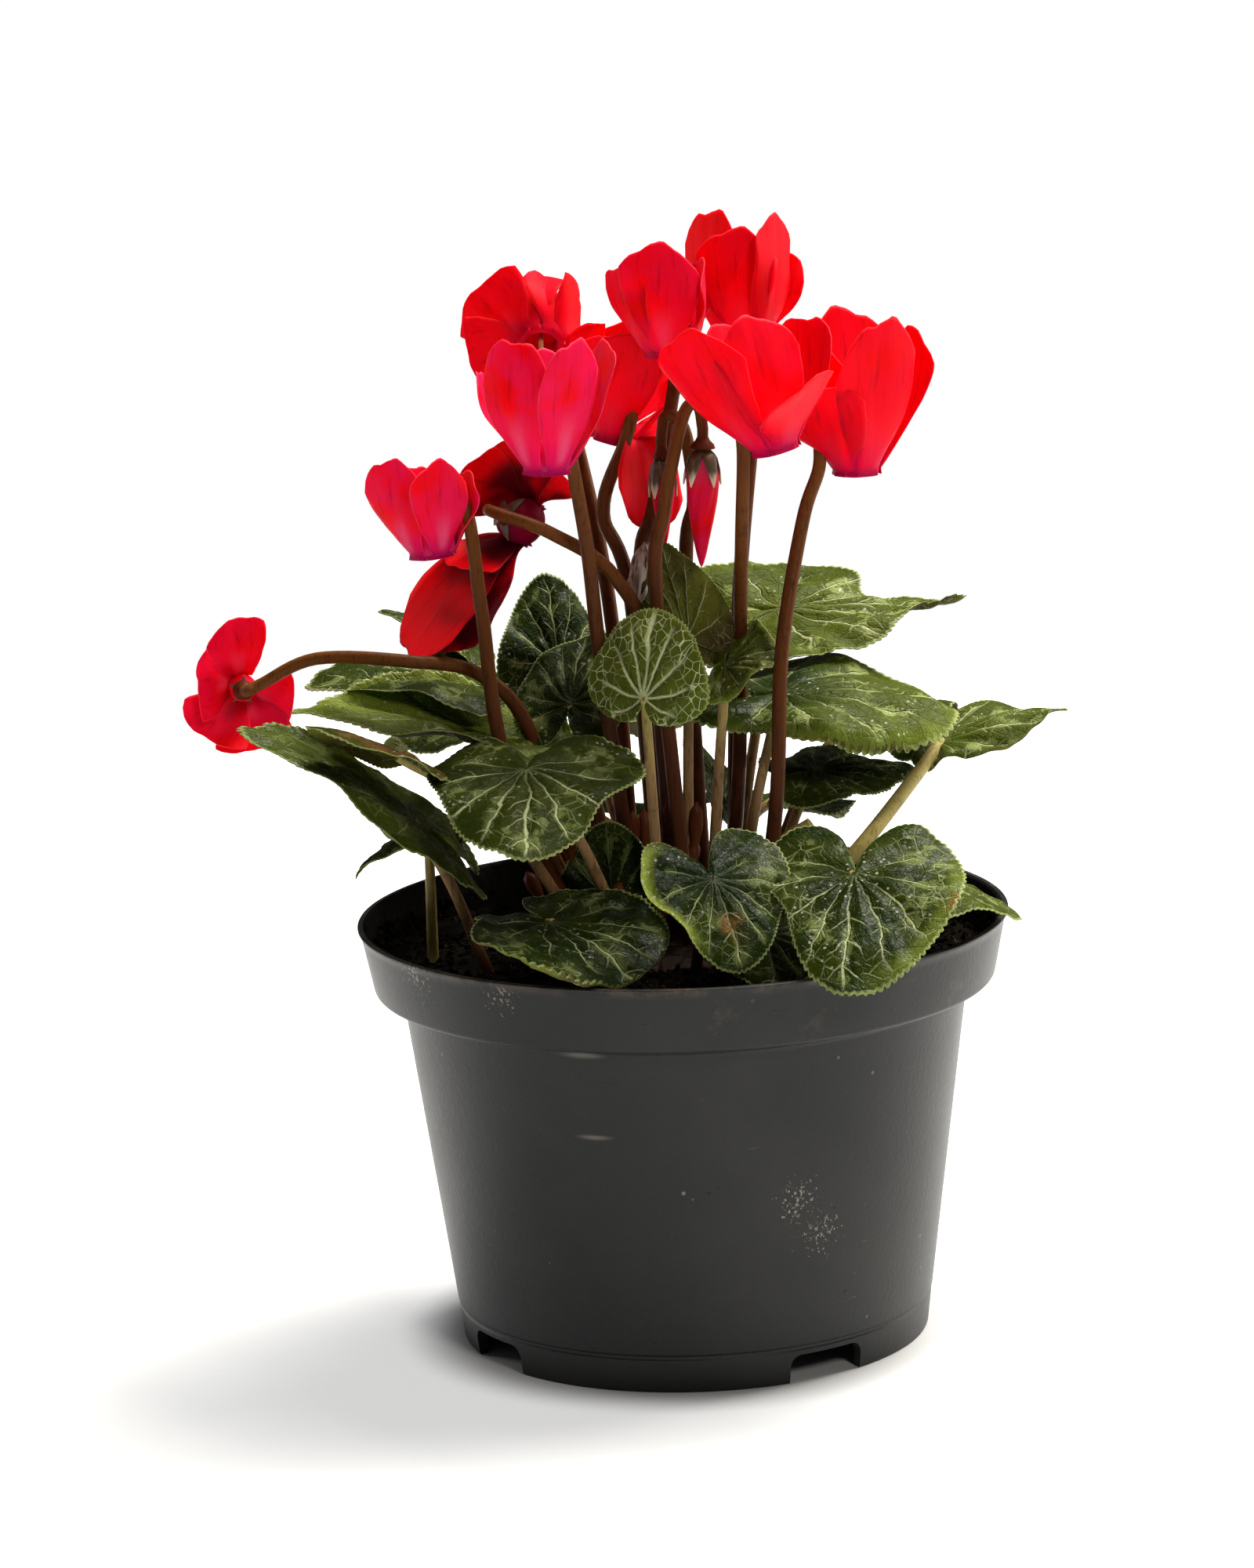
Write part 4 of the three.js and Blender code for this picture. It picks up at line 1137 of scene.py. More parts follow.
def petalPoints(bloom, tip, seed, wider, mouthSize):
    form = petalForm
    mouth, up, outward, controls = petalCurve(bloom, tip, mouthSize)
    side = np.cross(up, outward)
    t, v = sheetGrid(form["rows"], form["columns"])
    s = t * (1 - form["tipRound"] * np.abs(v - 0.1 * math.sin(seed)) ** 2.6 * softStep(t, 0.3, 1))
    s = s - form["nicks"] * t**4 * (1.4 + np.sin(6 * v + seed) + 0.25 * np.sin(15 * v + 2 * seed))
    centre, along = bezier(controls, s)
    across = side - along * np.sum(side * along, axis=-1, keepdims=True)
    across = across / np.linalg.norm(across, axis=-1, keepdims=True)
    across = turnedAbout(across, along, np.radians(form["twist"] * s))
    face = np.cross(across, along)
    halfWidth = bloom["width"] / 2 * np.interp(s, *form["width"]) * (1 + (wider - 1) * softStep(s, 0, 0.4))
    cup = form["cup"][0] + (form["cup"][1] - form["cup"][0]) * softStep(s, 0, 0.5)
    ruffle = form["ruffle"] * s * np.abs(v) ** 2.5 * np.sin(9 * s + 2.2 * v + seed * 1.9)
    crease = form["crease"] * np.exp(-((v / form["creaseWidth"]) ** 2)) * softStep(s, 0.05, 0.4)
    height = ruffle + crease - cup * v * v * halfWidth + 0.35 * np.sin(3.1 * s * math.pi + seed) * v * s
    middle = centre + across * (v * halfWidth)[..., None] + face * height[..., None]
    spread = math.tan(math.radians(form["lipSpread"]))
    lip = []
    for out, rising in form["lip"]:
        reachAt = mouth + outward * out * mouthSize + up * rising
        lip.append(reachAt + side * (v[0] * out * mouthSize * spread)[:, None])
    middle = np.concatenate([np.array(lip), middle])
    normal = np.cross(np.gradient(middle, axis=1), np.gradient(middle, axis=0))
    normal = normal / np.maximum(np.linalg.norm(normal, axis=-1, keepdims=True), 1e-9)
    tt = np.concatenate([np.linspace(-0.1, -0.02, len(lip))[:, None] * np.ones_like(v[:1]), t])
    vv = np.concatenate([np.repeat(v[:1], len(lip), axis=0), v])
    half = form["halfThickness"] * (1 - 0.6 * np.abs(vv) ** 6) * (1 - 0.5 * np.clip(tt, 0, 1) ** 8)
    layers = np.concatenate([(middle + normal * half[..., None] * lift).reshape(-1, 3) for lift in (1, -1)])
    places = np.tile(np.stack([tt, vv], axis=-1).reshape(-1, 2), (2, 1))
    return layers, places, len(middle)


# A ring of pointed sepals that lies on a turned form
def sepalRing(top, up, profile, length, width, lift):
    tripod = squareTo(up)
    profile = np.array(profile, dtype=float)
    steps = np.concatenate([[0], np.cumsum(np.hypot(*np.diff(profile, axis=0).T))])
    points, alongs, faces = [], [], []
    rows, columns = calyxForm["rows"], calyxForm["columns"]
    outHalf, upHalf = calyxForm["halfThickness"]
    t, v = sheetGrid(rows, columns)
    r, h = (np.interp(calyxForm["start"] + t * length, steps, values) for values in profile.T)
    half = width * np.interp(t, *calyxForm["outline"])
    for k in range(calyxForm["sepals"]):
        angle = 2 * math.pi * (k + 0.5) / calyxForm["sepals"] + v * half / np.maximum(r, 0.5)
        for side in (1, -1):
            out = r + lift + calyxForm["tipLift"] * t**3 + side * outHalf
            ring = np.stack([out * np.sin(angle), -out * np.cos(angle), h + side * upHalf], axis=-1)
            points.append((ring @ tripod + top).reshape(-1, 3))
            alongs.append(t.ravel())
        faces += sheetFaces(rows, columns, 2 * k * rows * columns)
    return np.concatenate(points), np.concatenate(alongs), [f[::-1] for f in faces]


def makeCalyx(name, top, up, profile, kind, size=1, fade=1):
    length, width, lift = calyxForm[kind]
    points, alongs, faces = sepalRing(top, up, profile, length * size, width * size, lift)
    return meshPiece(name, points, faces, [sepalSkin], {"along": alongs * fade})


def turnedPoints(profile, sides, top, up, swell=None):
    tripod = squareTo(up)
    points = []
    for r, h in profile:
        angle = 2 * math.pi * np.arange(sides) / sides
        reach = r * (1 + (swell(angle, h) if swell else 0))
        points.append(np.stack([reach * np.cos(angle), reach * np.sin(angle), np.full(sides, h)], axis=-1))
    return np.concatenate(points) @ tripod + top


def makeBloom(bloom, name, i):
    pink, dark, blush = bloomTints[i]
    seed = 2.0 + i
    mouth = np.array(bloom["mouth"], dtype=float)
    up = unit(bloom["up"])
    sides = nose["sides"]
    mouthSize = noseSizes.get(i, 1)

    def ripple(angle, h):
        return nose["ripple"] * np.cos(5 * angle + seed) * softStep(h, -1, 2) * (1 - softStep(h, 5, 7))

    inner = [(r * mouthSize, h) for r, h in nose["profile"] if r > 0]
    poles = [h for r, h in nose["profile"] if r == 0]
    points = [turnedPoints(inner, sides, mouth, up, ripple)] + [mouth[None, :] + up * h for h in poles]
    faces = closedFaces(len(inner), sides)
    total = len(inner) * sides + 2
    heights = np.concatenate([np.repeat([h for _, h in inner], sides), poles])
    places = [np.stack([0.05 - heights * 0.004, np.zeros(total)], axis=-1)]
    paintedShadeAmounts = [np.full(total, dark)]
    for k, tip in enumerate(bloom["tips"] + extraPetals.get(i, [])):
        tip = petalTips.get((i, k), tip)
        layers, flat, rows = petalPoints(bloom, tip, seed + 1.7 * k, petalWidths.get((i, k), 1), mouthSize)
        # painted shade, fading along each petal
        paintedShadeAmounts.append(dark * (1 - softStep(flat[:, 0], *paintedShadeStops.get((i, k), petalForm["fade"]))))
        faces += sheetFaces(rows, petalForm["columns"], total)
        points.append(layers)
        places.append(flat)
        total += len(layers)
    materialIndex = [0] * len(faces)
    if i in pistil["shown"]:
        rod, rodSides = pistil["profile"], pistil["sides"]
        points.append(turnedPoints(rod, rodSides, mouth, up))
        faces += gridFaces(len(rod), rodSides, total, closed=True, flipped=True)
        last = total + (len(rod) - 1) * rodSides
        faces += [list(range(total, total + rodSides)), list(range(last, last + rodSides))[::-1]]
        materialIndex += [1] * (len(faces) - len(materialIndex))
        paintedShadeAmounts.append(np.zeros(len(rod) * rodSides))
        places.append(np.zeros((len(rod) * rodSides, 2)))
        total += len(rod) * rodSides
    floats = {"pink": np.full(total, pink), "dark": np.concatenate(paintedShadeAmounts), "blush": np.full(total, blush)}
    skins = [petalSkin, pistilSkin]
    return meshPiece(name, np.concatenate(points), faces, skins, floats, np.concatenate(places), materialIndex)


def hookPath(top, up, way, foot, hook):
    last = np.array(way[-1], dtype=float) - top
    back = unit(last - up * np.dot(last, up))
    ends = [top + back * out + up * rise for out, rise in hook]
    return [np.array([*foot, stemForm["foot"]], dtype=float)] + [np.array(p, dtype=float) for p in way] + ends


def makeFlowerStalk(waypoints, name, flare):
    last, end = waypoints[-2:]
    count = stemForm["endSteps"]
    straight = [last + (end - last) * k / count for k in range(1, count + 1)]
    path = np.concatenate([smoothPath(waypoints[:-1], stemForm["steps"]), straight])
    t = np.linspace(0, 1, len(path))
    radii = stemForm["radius"] * (1 - stemForm["taper"] * t)
    toEnd = np.linalg.norm(path - end, axis=1)
    radii = radii + (flare - radii) * (1 - softStep(toEnd, *stemForm["flareReach"])) * (t > 0.8)
    return makeStalk(name, path, radii, flowerStalkSkin, 0.0, stemForm["sides"])


for i, bloom in enumerate(blooms):
    node, stemNode = f"bloom_{i + 1:02d}", f"bloom_stem_{i + 1:02d}"
    mouth = np.array(bloom["mouth"], dtype=float)
    up = unit(bloom["up"])
    finish(makeBloom(bloom, node + "_flower", i), "petal", node)
    size = calyxSizes.get(i, 1)
    calyx = makeCalyx(node + "_calyx", mouth, up, nose["profile"], "bloom", size, calyxForm["bloomFade"])
    finish(calyx, "stem", stemNode)
    hook = stemForm["hook"][2 if bloom.get("shortHook") else 0 :]
    waypoints = hookPath(mouth, up, bloom["stem"][1:], bloom["stem"][0], hook)
    finish(makeFlowerStalk(waypoints, stemNode + "_stalk", stemForm["flare"]), "stem", stemNode)
print("blooms made:", len(blooms))


budForm = {
    "profile": [(0.0, 0.0), (0.45, 0.02), (0.8, 0.08), (0.96, 0.18), (1.0, 0.3), (0.9, 0.45), (0.7, 0.62),
                (0.48, 0.78), (0.28, 0.9), (0.12, 0.975), (0.0, 1.0)],
    "twist": 4.2,
    "ridge": 0.13,
    "sides": 40,
    "rows": 44,
    "sunk": 0.4,
    "places": (0.25, 0.6),  # where on a petal's length its colours start, and how far they run
    "pink": 0.7,
    "dark": 0.25,
}


def makeBud(bud, name):
    top = np.array(bud["top"], dtype=float)
    reach = top - np.array(bud["tip"], dtype=float)
    length = np.linalg.norm(reach)
    up = reach / length
    shares = np.linspace(0.01, 0.99, budForm["rows"])
    known = np.array(budForm["profile"])
    sides, sunk = budForm["sides"], budForm["sunk"]
    radii = bud["radius"] * np.interp(shares, known[:, 1], known[:, 0])
    profile = list(zip(radii, -sunk - shares * (length - sunk)))

    def ridge(angle, h):
        return budForm["ridge"] * (np.abs(np.sin(2.5 * angle - budForm["twist"] * h / length)) - 0.5)

    poles = [top - up * sunk, top - up * length]
    points = np.concatenate([turnedPoints(profile, sides, top, up, ridge), poles])
    faces = closedFaces(len(profile), sides)
    total = len(profile) * sides + 2
    first, span = budForm["places"]
    along = np.concatenate([np.repeat(first + shares * span, sides), [first, first + span]])
    places = np.stack([along, np.zeros(total)], axis=-1)
    floats = {"pink": np.full(total, budForm["pink"]), "dark": np.full(total, budForm["dark"])}
    floats["blush"] = np.zeros(total)
    return meshPiece(name, points, faces, [petalSkin], floats, places), profile


for i, bud in enumerate(buds):
    node, stemNode = f"bud_{i + 1:02d}", f"bud_stem_{i + 1:02d}"
    piece, profile = makeBud(bud, node + "_flower")
    finish(piece, "petal", node)
    top = np.array(bud["top"], dtype=float)
    up = unit(top - np.array(bud["tip"]))
    finish(makeCalyx(node + "_calyx", top, up, [(0.2, -0.1)] + profile, "bud"), "stem", node)
    waypoints = hookPath(top, up, bud["stem"][1:], bud["stem"][0], stemForm["budHook"])
    finish(makeFlowerStalk(waypoints, stemNode + "_stalk", bud["radius"] * 0.8), "stem", stemNode)
print("buds made:", len(buds))


# A dried bract caught between the stems, and the stub of a cut leaf stalk
bract = {
    "foot": (-7.5, -3.0, 146.0),
    "head": (-4.8, -4.0, 160.0),
    "width": 5.0,
    "rows": 22,
    "columns": 13,
    "halfThickness": 0.12,
    "outline": ([0, 0.2, 0.55, 0.85, 1], [0.35, 0.8, 1, 0.6, 0.1]),
    "crumple": 0.7,
    "trough": 1.6,
}
stub = {
    "path": [(7, -5, 80), (14, -8, 92), (20, -10, 100), (26, -11, 104)],
    "steps": 8,
    "radius": 1.7,
    "sides": 14,
}


def makeBract():
    foot, head = np.array(bract["foot"]), np.array(bract["head"])
    t, v = sheetGrid(bract["rows"], bract["columns"])
    along = unit(head - foot)
    side = unit(np.cross(along, [0, 1.0, 0]))
    face = np.cross(side, along)
    half = bract["width"] / 2 * np.interp(t, *bract["outline"])
    half = half * (1 + 0.15 * np.sin(13 * t + 4 * v))
    crumple = bract["crumple"] * np.sin(9 * v + 5 * t) * np.cos(7 * t - 2 * v) + bract["trough"] * v * v
    middle = foot + (head - foot) * t[..., None] + side * (v * half)[..., None] + face * crumple[..., None]
    lifts = (bract["halfThickness"], -bract["halfThickness"])
    layers = np.concatenate([(middle + face * lift).reshape(-1, 3) for lift in lifts])
    return meshPiece("driedBract", layers, sheetFaces(bract["rows"], bract["columns"], 0), [driedSkin])


finish(makeBract(), "stem", "bloom_stem_09")

# Young shoots that crowd the crown: short stalks that swell to a folded leaf
shoots = {
    "count": 26,
    "seed": 5,
    "foot": 76.0,
    "spread": (17, 11),
    "aside": 4,
    "lean": (1.5, 1.3),
    "tallest": 46,
    "shortest": 16,
    "bend": 2.5,
    "shorterOutside": 0.35,
    "steps": 9,
    "radius": 1.05,
    "swell": ([0, 0.72, 0.86, 0.95, 1], [1.0, 0.85, 1.5, 1.25, 0.15]),
    "sides": 10,
}


def makeShoots():
    chance = np.random.default_rng(shoots["seed"])
    paths, radii = [], []
    for _ in range(shoots["count"]):
        angle, reach = chance.uniform(0, 2 * math.pi), math.sqrt(chance.uniform(0.02, 1))
        x, y = (s * reach * f(angle) for s, f in zip(shoots["spread"], (math.cos, math.sin)))
        foot = np.array([x - shoots["aside"], y, shoots["foot"]])
        height = chance.uniform(shoots["shortest"], shoots["tallest"]) * (1 - shoots["shorterOutside"] * reach)
        top = foot * [*shoots["lean"], 1] + [0, 0, 1 + height]
        bend = chance.uniform(-shoots["bend"], shoots["bend"], 3) * [1, 1, 0]
        path = smoothPath([foot, (foot + top) / 2 + bend, top], shoots["steps"])
        paths.append(path)
        radii.append(shoots["radius"] * np.interp(np.linspace(0, 1, len(path)), *shoots["swell"]))
    return makeStalks("youngShoots", paths, radii, flowerStalkSkin, 0.0, shoots["sides"])


finish(makeShoots(), "stem", "tuber")
stubPath = smoothPath(stub["path"], stub["steps"])
stubRadii = np.full(len(stubPath), stub["radius"])
finish(makeStalk("cutStub", stubPath, stubRadii, leafStalkSkin, 0.0, stub["sides"]), "stem", "tuber")
print("bract, shoots and stub made")


# Turned bodies: a profile of points (radius, 0, height) is spun by Geometry Nodes

def turnTree():
    inputs = {"Profile": "Geometry", "Points": "Int", "Sides": "Int", "Skin": "Material"}
    tree, given = newTree("turnedShell", inputs, "Shell")
    points, sides = Wire(tree, given["Points"]), Wire(tree, given["Sides"])
    sizes = {"Size X": 1.0, "Size Y": 1.0, "Vertices X": points, "Vertices Y": sides + 1}
    grid = addNode(tree, "GeometryNodeMeshGrid", sizes).outputs["Mesh"]
    x, y, _ = splitPlace(tree, addNode(tree, "GeometryNodeInputPosition").outputs[0])
    row = ((x + 0.5) * (points - 1)).math("ROUND")
    turn = (y + 0.5) * (2 * math.pi)
    place = addNode(tree, "GeometryNodeInputPosition").outputs[0]
    lookup = {"Geometry": given["Profile"], "Value": place, "Index": row}
    point = addNode(tree, "GeometryNodeSampleIndex", lookup, data_type="FLOAT_VECTOR").outputs[0]
    reach, _, height = splitPlace(tree, point)
    spun = {0: reach * turn.math("COSINE"), 1: reach * turn.math("SINE"), 2: height}
    spun = addNode(tree, "ShaderNodeCombineXYZ", spun).outputs[0]
    moved = addNode(tree, "GeometryNodeSetPosition", {"Geometry": grid, "Position": spun}).outputs[0]
    merged = addNode(tree, "GeometryNodeMergeByDistance", {"Geometry": moved, "Distance": 2e-6})
    return endTree(tree, given, merged.outputs[0])


turnedShell = turnTree()


def outwards(piece):
    work = bmesh.new()
    work.from_mesh(piece.data)
    bmesh.ops.recalc_face_normals(work, faces=work.faces)
    if work.calc_volume(signed=True) < 0:
        bmesh.ops.reverse_faces(work, faces=work.faces)
    work.to_mesh(piece.data)
    work.free()


def turnedPiece(name, profile, sides, skin):
    line = bpy.data.meshes.new(name + "Profile")
    joins = [(i, i + 1) for i in range(len(profile) - 1)]
    line.from_pydata((np.array([(r, 0, z) for r, z in profile], dtype=float) * mm).tolist(), joins, [])
    values = {"Points": len(profile), "Sides": sides, "Skin": skin}
    piece = grown(linked(name + "Profile", line), turnedShell, values, name)
    outwards(piece)
    return piece


# A profile with its corners rounded and its long runs divided
def filleted(profile, radii, longest):
    points = [np.array(p, dtype=float) for p in profile]
    out = [points[0]]
    for i in range(1, len(points) - 1):
        before, here, after = points[i - 1 : i + 2]
        a, b = before - here, after - here
        cut = min(radii[i], 0.45 * np.linalg.norm(a), 0.45 * np.linalg.norm(b))
        start, end = here + unit(a) * cut, here + unit(b) * cut
        for t in np.linspace(0, 1, 6):
            out.append((1 - t) ** 2 * start + 2 * t * (1 - t) * here + t * t * end)
    out.append(points[-1])
    fine = [out[0]]
    for a, b in zip(out, out[1:]):
        steps = max(1, int(np.ceil(np.linalg.norm(b - a) / longest)))
        fine += [a + (b - a) * k / steps for k in range(1, steps + 1)]
    return fine


# Pot

pot = {
    "profile": [
        (0, 0), (30, 0), (32.5, 6.2), (44.6, 6.2), (45.1, 0), (46.8, 0),
        (47.6, 6.6), (47.45, 7.0), (47.45, 7.5), (47.85, 7.9), (56.3, 70.5), (61.8, 71.9), (64.1, 83.4),
        (65, 85), (63, 85), (60.5, 72.7), (55, 71.8), (46.3, 7.5), (31.6, 7.5), (29.1, 1.3), (0, 1.3),
    ],
    "corners": [
        0, 1.2, 1.2, 1.2, 0.3, 0.5, 0.2, 0.1, 0.1, 0.2, 1.1, 0.9, 0.8, 0.7, 0.7, 0.8, 0.8, 1.2, 1.0, 1.0, 0,
    ],
    "sides": 160,
    "longest": 6.0,
    "sharpAngle": 32,
    "notchCount": 4,
    "notchWidth": 16.5,
    "notchHeight": 5.8,
    "notchCorner": 2.4,
    "notchDepth": (43.8, 49.8),
    "firstNotch": 32.5,
    "drainCount": 6,
    "drainRadius": 3.0,
    "drainCircle": 38.5,
    "drainSides": 24,
    "drainDepth": (5, 9),
    "plastic": (0.0105, 0.011, 0.0105),
    "plasticWorn": (0.022, 0.022, 0.020),
    "dustAndHighlight": (0.30, 0.27, 0.22),
    "soilStain": (0.055, 0.04, 0.028),
    "grit": (0.005, 0.004, 0.003),
    "darkWallFrom": 73.5,
    "scuffs": [
        ((20.5, -47.5, 38.0), 10.5), ((25.0, -45.0, 31.0), 10.0), ((-35.0, -53.0, 82.5), 9.0),
        ((-52.0, -37.5, 83.0), 12.0),
    ],
    # pale spots: the first is a smudge on the wall, the second, just under the rim band, is a painted highlight
    # line
    "smudgeAndHighlightShape": (0.5, 0.5, 3.2),
    "smudgeAndPaintedHighlight": [((-18.4, -50.7, 53.0), 2.4), ((-20.1, -52.4, 69.8), 3.0)],
}


def prism(name, outline, low, high, turn):
    count = len(outline)
    points = [(*p, low) for p in outline] + [(*p, high) for p in outline]
    faces = [tuple(range(count))[::-1], tuple(range(count, 2 * count))]
    faces += [(i, (i + 1) % count, count + (i + 1) % count, count + i) for i in range(count)]
    mesh = bpy.data.meshes.new(name)
    mesh.from_pydata([tuple(turn @ Vector(p) * mm) for p in points], [], faces)
    holder = linked(name, mesh)
    outwards(holder)
    return holder


def potCutters():
    cutters = []
    half, corner = pot["notchWidth"] / 2, pot["notchCorner"]
    inset, shoulder = half - corner, pot["notchHeight"] - corner
    arch = [(-half, -1), (half, -1)]
    for across, quarter in ((inset, 0), (-inset, 1)):
        for k in range(9):
            angle = math.pi / 2 * (quarter + k / 8)
            arch.append((across + corner * math.cos(angle), shoulder + corner * math.sin(angle)))
    for i in range(pot["notchCount"]):
        azimuth = math.radians(pot["firstNotch"] + 360 / pot["notchCount"] * i)
        # the outline's x runs across the notch, its y up, and the prism's height outwards
        stand = Matrix(((0, 0, 1), (1, 0, 0), (0, 1, 0)))
        turn = Matrix.Rotation(azimuth, 3, "Z") @ stand
        cutters.append(prism(f"notchCutter{i}", arch, *pot["notchDepth"], turn))
    ring = [(2 * math.pi * k / pot["drainSides"]) for k in range(pot["drainSides"])]
    for i in range(pot["drainCount"]):
        azimuth = (i + 0.5) * 2 * math.pi / pot["drainCount"]
        x, y = pot["drainCircle"] * math.cos(azimuth), pot["drainCircle"] * math.sin(azimuth)
        outline = [(x + pot["drainRadius"] * math.cos(a), y + pot["drainRadius"] * math.sin(a)) for a in ring]
        cutters.append(prism(f"drainCutter{i}", outline, *pot["drainDepth"], Matrix.Identity(3)))
    return cutters


# 1 at the nearest of some spots, fading to 0 at their radius; places and radii are in millimetres
def spotsWire(tree, spots, stretch=(1, 1, 1)):
    place, found = objectPlace(tree, stretch), None
    for centre, radius in spots:
        middle = [c * s * mm for c, s in zip(centre, stretch)]
        away = addNode(tree, "ShaderNodeVectorMath", {0: place, 1: middle}, operation="DISTANCE")
        near = Wire(tree, away.outputs["Value"]).fall(0, radius * mm)
        found = near if found is None else found.orMore(near)
    return found


def potMaterial():
    material, tree = newMaterial("potPlastic")
    body = objectPlace(tree)
    height = splitPlace(tree, body)[2]
    cloud = noiseWire(tree, body, 26)
    grain = noiseWire(tree, body, 900)
    scratch = noiseWire(tree, objectPlace(tree, (0.35, 0.35, 2.6)), 240, 4, 0.7).rise(0.66, 0.72)
    specks = cellWire(tree, body, 150, "F1").fall(0.035, 0.08) * noiseWire(tree, body, 40, 2).rise(0.54, 0.6)
    chips = noiseWire(tree, objectPlace(tree, (1, 1, 0.8)), 1500, 4, 0.7)
    scuffed = spotsWire(tree, pot["scuffs"])
    scuffed = (chips + scuffed * 0.2).rise(0.73, 0.79) * scuffed.rise(0.02, 0.3)
    smudgeAndHighlight = spotsWire(tree, pot["smudgeAndPaintedHighlight"], pot["smudgeAndHighlightShape"])
    bits = cellWire(tree, body, 120, "F1").fall(0.04, 0.07) * noiseWire(tree, body, 33, 2).rise(0.56, 0.6)
    rim = height.rise(0.0825, 0.0848) * noiseWire(tree, body, 160, 4, 0.65).rise(0.46, 0.62)
    splash = noiseWire(tree, body, 75, 5, 0.7).rise(0.6, 0.72) * height.rise(0.066, 0.078)
    colour = layered(
        tree,
        pot["plastic"],
        (pot["plasticWorn"], cloud.rise(0.42, 0.72) * 0.6),
        (pot["dustAndHighlight"], scratch * cloud.rise(0.5, 0.62) * 0.10),
        (pot["dustAndHighlight"], specks * 0.5),
        # pale scuffs, the smudge, and a painted highlight line under the rim band
        (pot["dustAndHighlight"], (scuffed * 0.75).orMore(smudgeAndHighlight * 0.35)),
        (pot["grit"], bits),
        (pot["soilStain"], (rim * 0.8).orMore(splash * 0.5)),
    )
    rough = cloud * 0.16 + grain * 0.08 + specks * 0.3 + 0.26
    sockets = {"Base Color": colour, "Roughness": rough, "Specular IOR Level": 0.24}
    return dressed(material, sockets, grain * 0.35 + cloud * 1.5 + scratch * 0.3, 0.00025, 0.6)


# The inner wall above the fill: near black and dull, with brown crust marks
def innerWallMaterial():
    material, tree = newMaterial("darkInnerWall")
    crust = noiseWire(tree, objectPlace(tree), 300, 5, 0.7)
    colour = layered(tree, pot["grit"], (pot["soilStain"], crust.rise(0.58, 0.75) * 0.4))
    sockets = {"Base Color": colour, "Roughness": 0.85, "Specular IOR Level": 0.05}
    return dressed(material, sockets, crust, 0.0008)


def makePot():
    profile = filleted(pot["profile"], pot["corners"], pot["longest"])
    piece = turnedPiece("potShell", profile, pot["sides"], potMaterial())
    cutters = potCutters()
    for cutter in cutters:
        cut = piece.modifiers.new("cut", "BOOLEAN")
        cut.operation = "DIFFERENCE"
        cut.solver = "EXACT"
        cut.object = cutter
    mesh = evaluatedMesh(piece)
    piece.modifiers.clear()
    piece.data = mesh
    for cutter in cutters:
        bpy.data.objects.remove(cutter)
    mesh.polygons.foreach_set("use_smooth", [True] * len(mesh.polygons))
    mesh.set_sharp_from_angle(angle=math.radians(pot["sharpAngle"]))
    innerWallSlot = len(mesh.materials)
    mesh.materials.append(innerWallMaterial())
    for face in mesh.polygons:
        facing = face.normal.x * face.center.x + face.normal.y * face.center.y
        if face.center.z > pot["darkWallFrom"] * mm and facing < 0:
            face.material_index = innerWallSlot
    return piece


finish(makePot(), "pot", "pot")
print("pot made")


# Soil and tuber

soil = {
    "wall": [(0, 1.6), (28.5, 1.6), (31, 7.8), (45.7, 7.8), (54.7, 72.1), (60.2, 73.0)],
    "sides": 200,
    "rings": 64,
    "topRadius": 60.6,
    "level": 76.5,
    "skirt": 75.5,
    "crown": 2.5,
    "roughness": 0.9,
    "clods": [(0.9, 0.35, 3), (0.35, 0.7, 9)],  # scale, height, layer of the noise
    "sunk": 0.3,
    "bandRadius": 61.8,
    "dark": (0.003, 0.002, 0.001),
    "brown": (0.012, 0.0075, 0.004),
    "fibre": (0.14, 0.10, 0.06),
    "crumbs": 3600,
    "crumbSizes": (0.25, 1.15),
    "clingFoot": (60.4, 76.5),
    "clingTop": (62.3, 84.0),
    "clingSteps": 120,
}
tuber = {
    "centre": (1, -1),
    "radius": 22,
    "top": 82.3,
    "bottom": 68,
    "rings": 40,
    "sides": 96,
    "swell": 1.2,
    "lumps": 9,
    "sunk": 0.45,
    "cork": (0.075, 0.042, 0.025),
    "crack": (0.018, 0.010, 0.007),
    "scurf": (0.17, 0.11, 0.07),
}


def lump(x, y):
    return (np.sin(x * 0.31 + 1.3) * np.cos(y * 0.27 - 0.4) + np.sin(x * 0.13 - y * 0.19 + 2.1)) / 2


def groundHeight(x, y):
    crown = soil["crown"] * (1 - np.hypot(x, y) / soil["bandRadius"])
    return soil["level"] + crown + soil["roughness"] * lump(x, y)


def soilMaterial():
    material, tree = newMaterial("pottingSoil")
    body = objectPlace(tree)
    clod = noiseWire(tree, body, 420, 6, 0.7)
    fibre = noiseWire(tree, objectPlace(tree, (1, 0.2, 1)), 1500).rise(0.64, 0.7)
    colour = layered(
        tree,
        soil["dark"],
        (soil["brown"], clod.rise(0.42, 0.72)),
        (soil["fibre"], fibre * noiseWire(tree, body, 90).rise(0.45, 0.6) * 0.7),
    )
    sockets = {"Base Color": colour, "Roughness": 0.95, "Specular IOR Level": 0.06}
    return dressed(material, sockets, clod, 0.0012)


def tuberMaterial():
    material, tree = newMaterial("tuberCork")
    body = objectPlace(tree)
    scale = noiseWire(tree, body, 230, 5, 0.65)
    crack = cellWire(tree, body, 260).fall(0.02, 0.14)
    scurf = scale.rise(0.45, 0.75)
    colour = layered(tree, tuber["cork"], (tuber["scurf"], scurf), (tuber["crack"], crack * 0.8))
    return dressed(material, {"Base Color": colour, "Roughness": 0.8}, scale - crack * 0.6, 0.0008, 0.9)


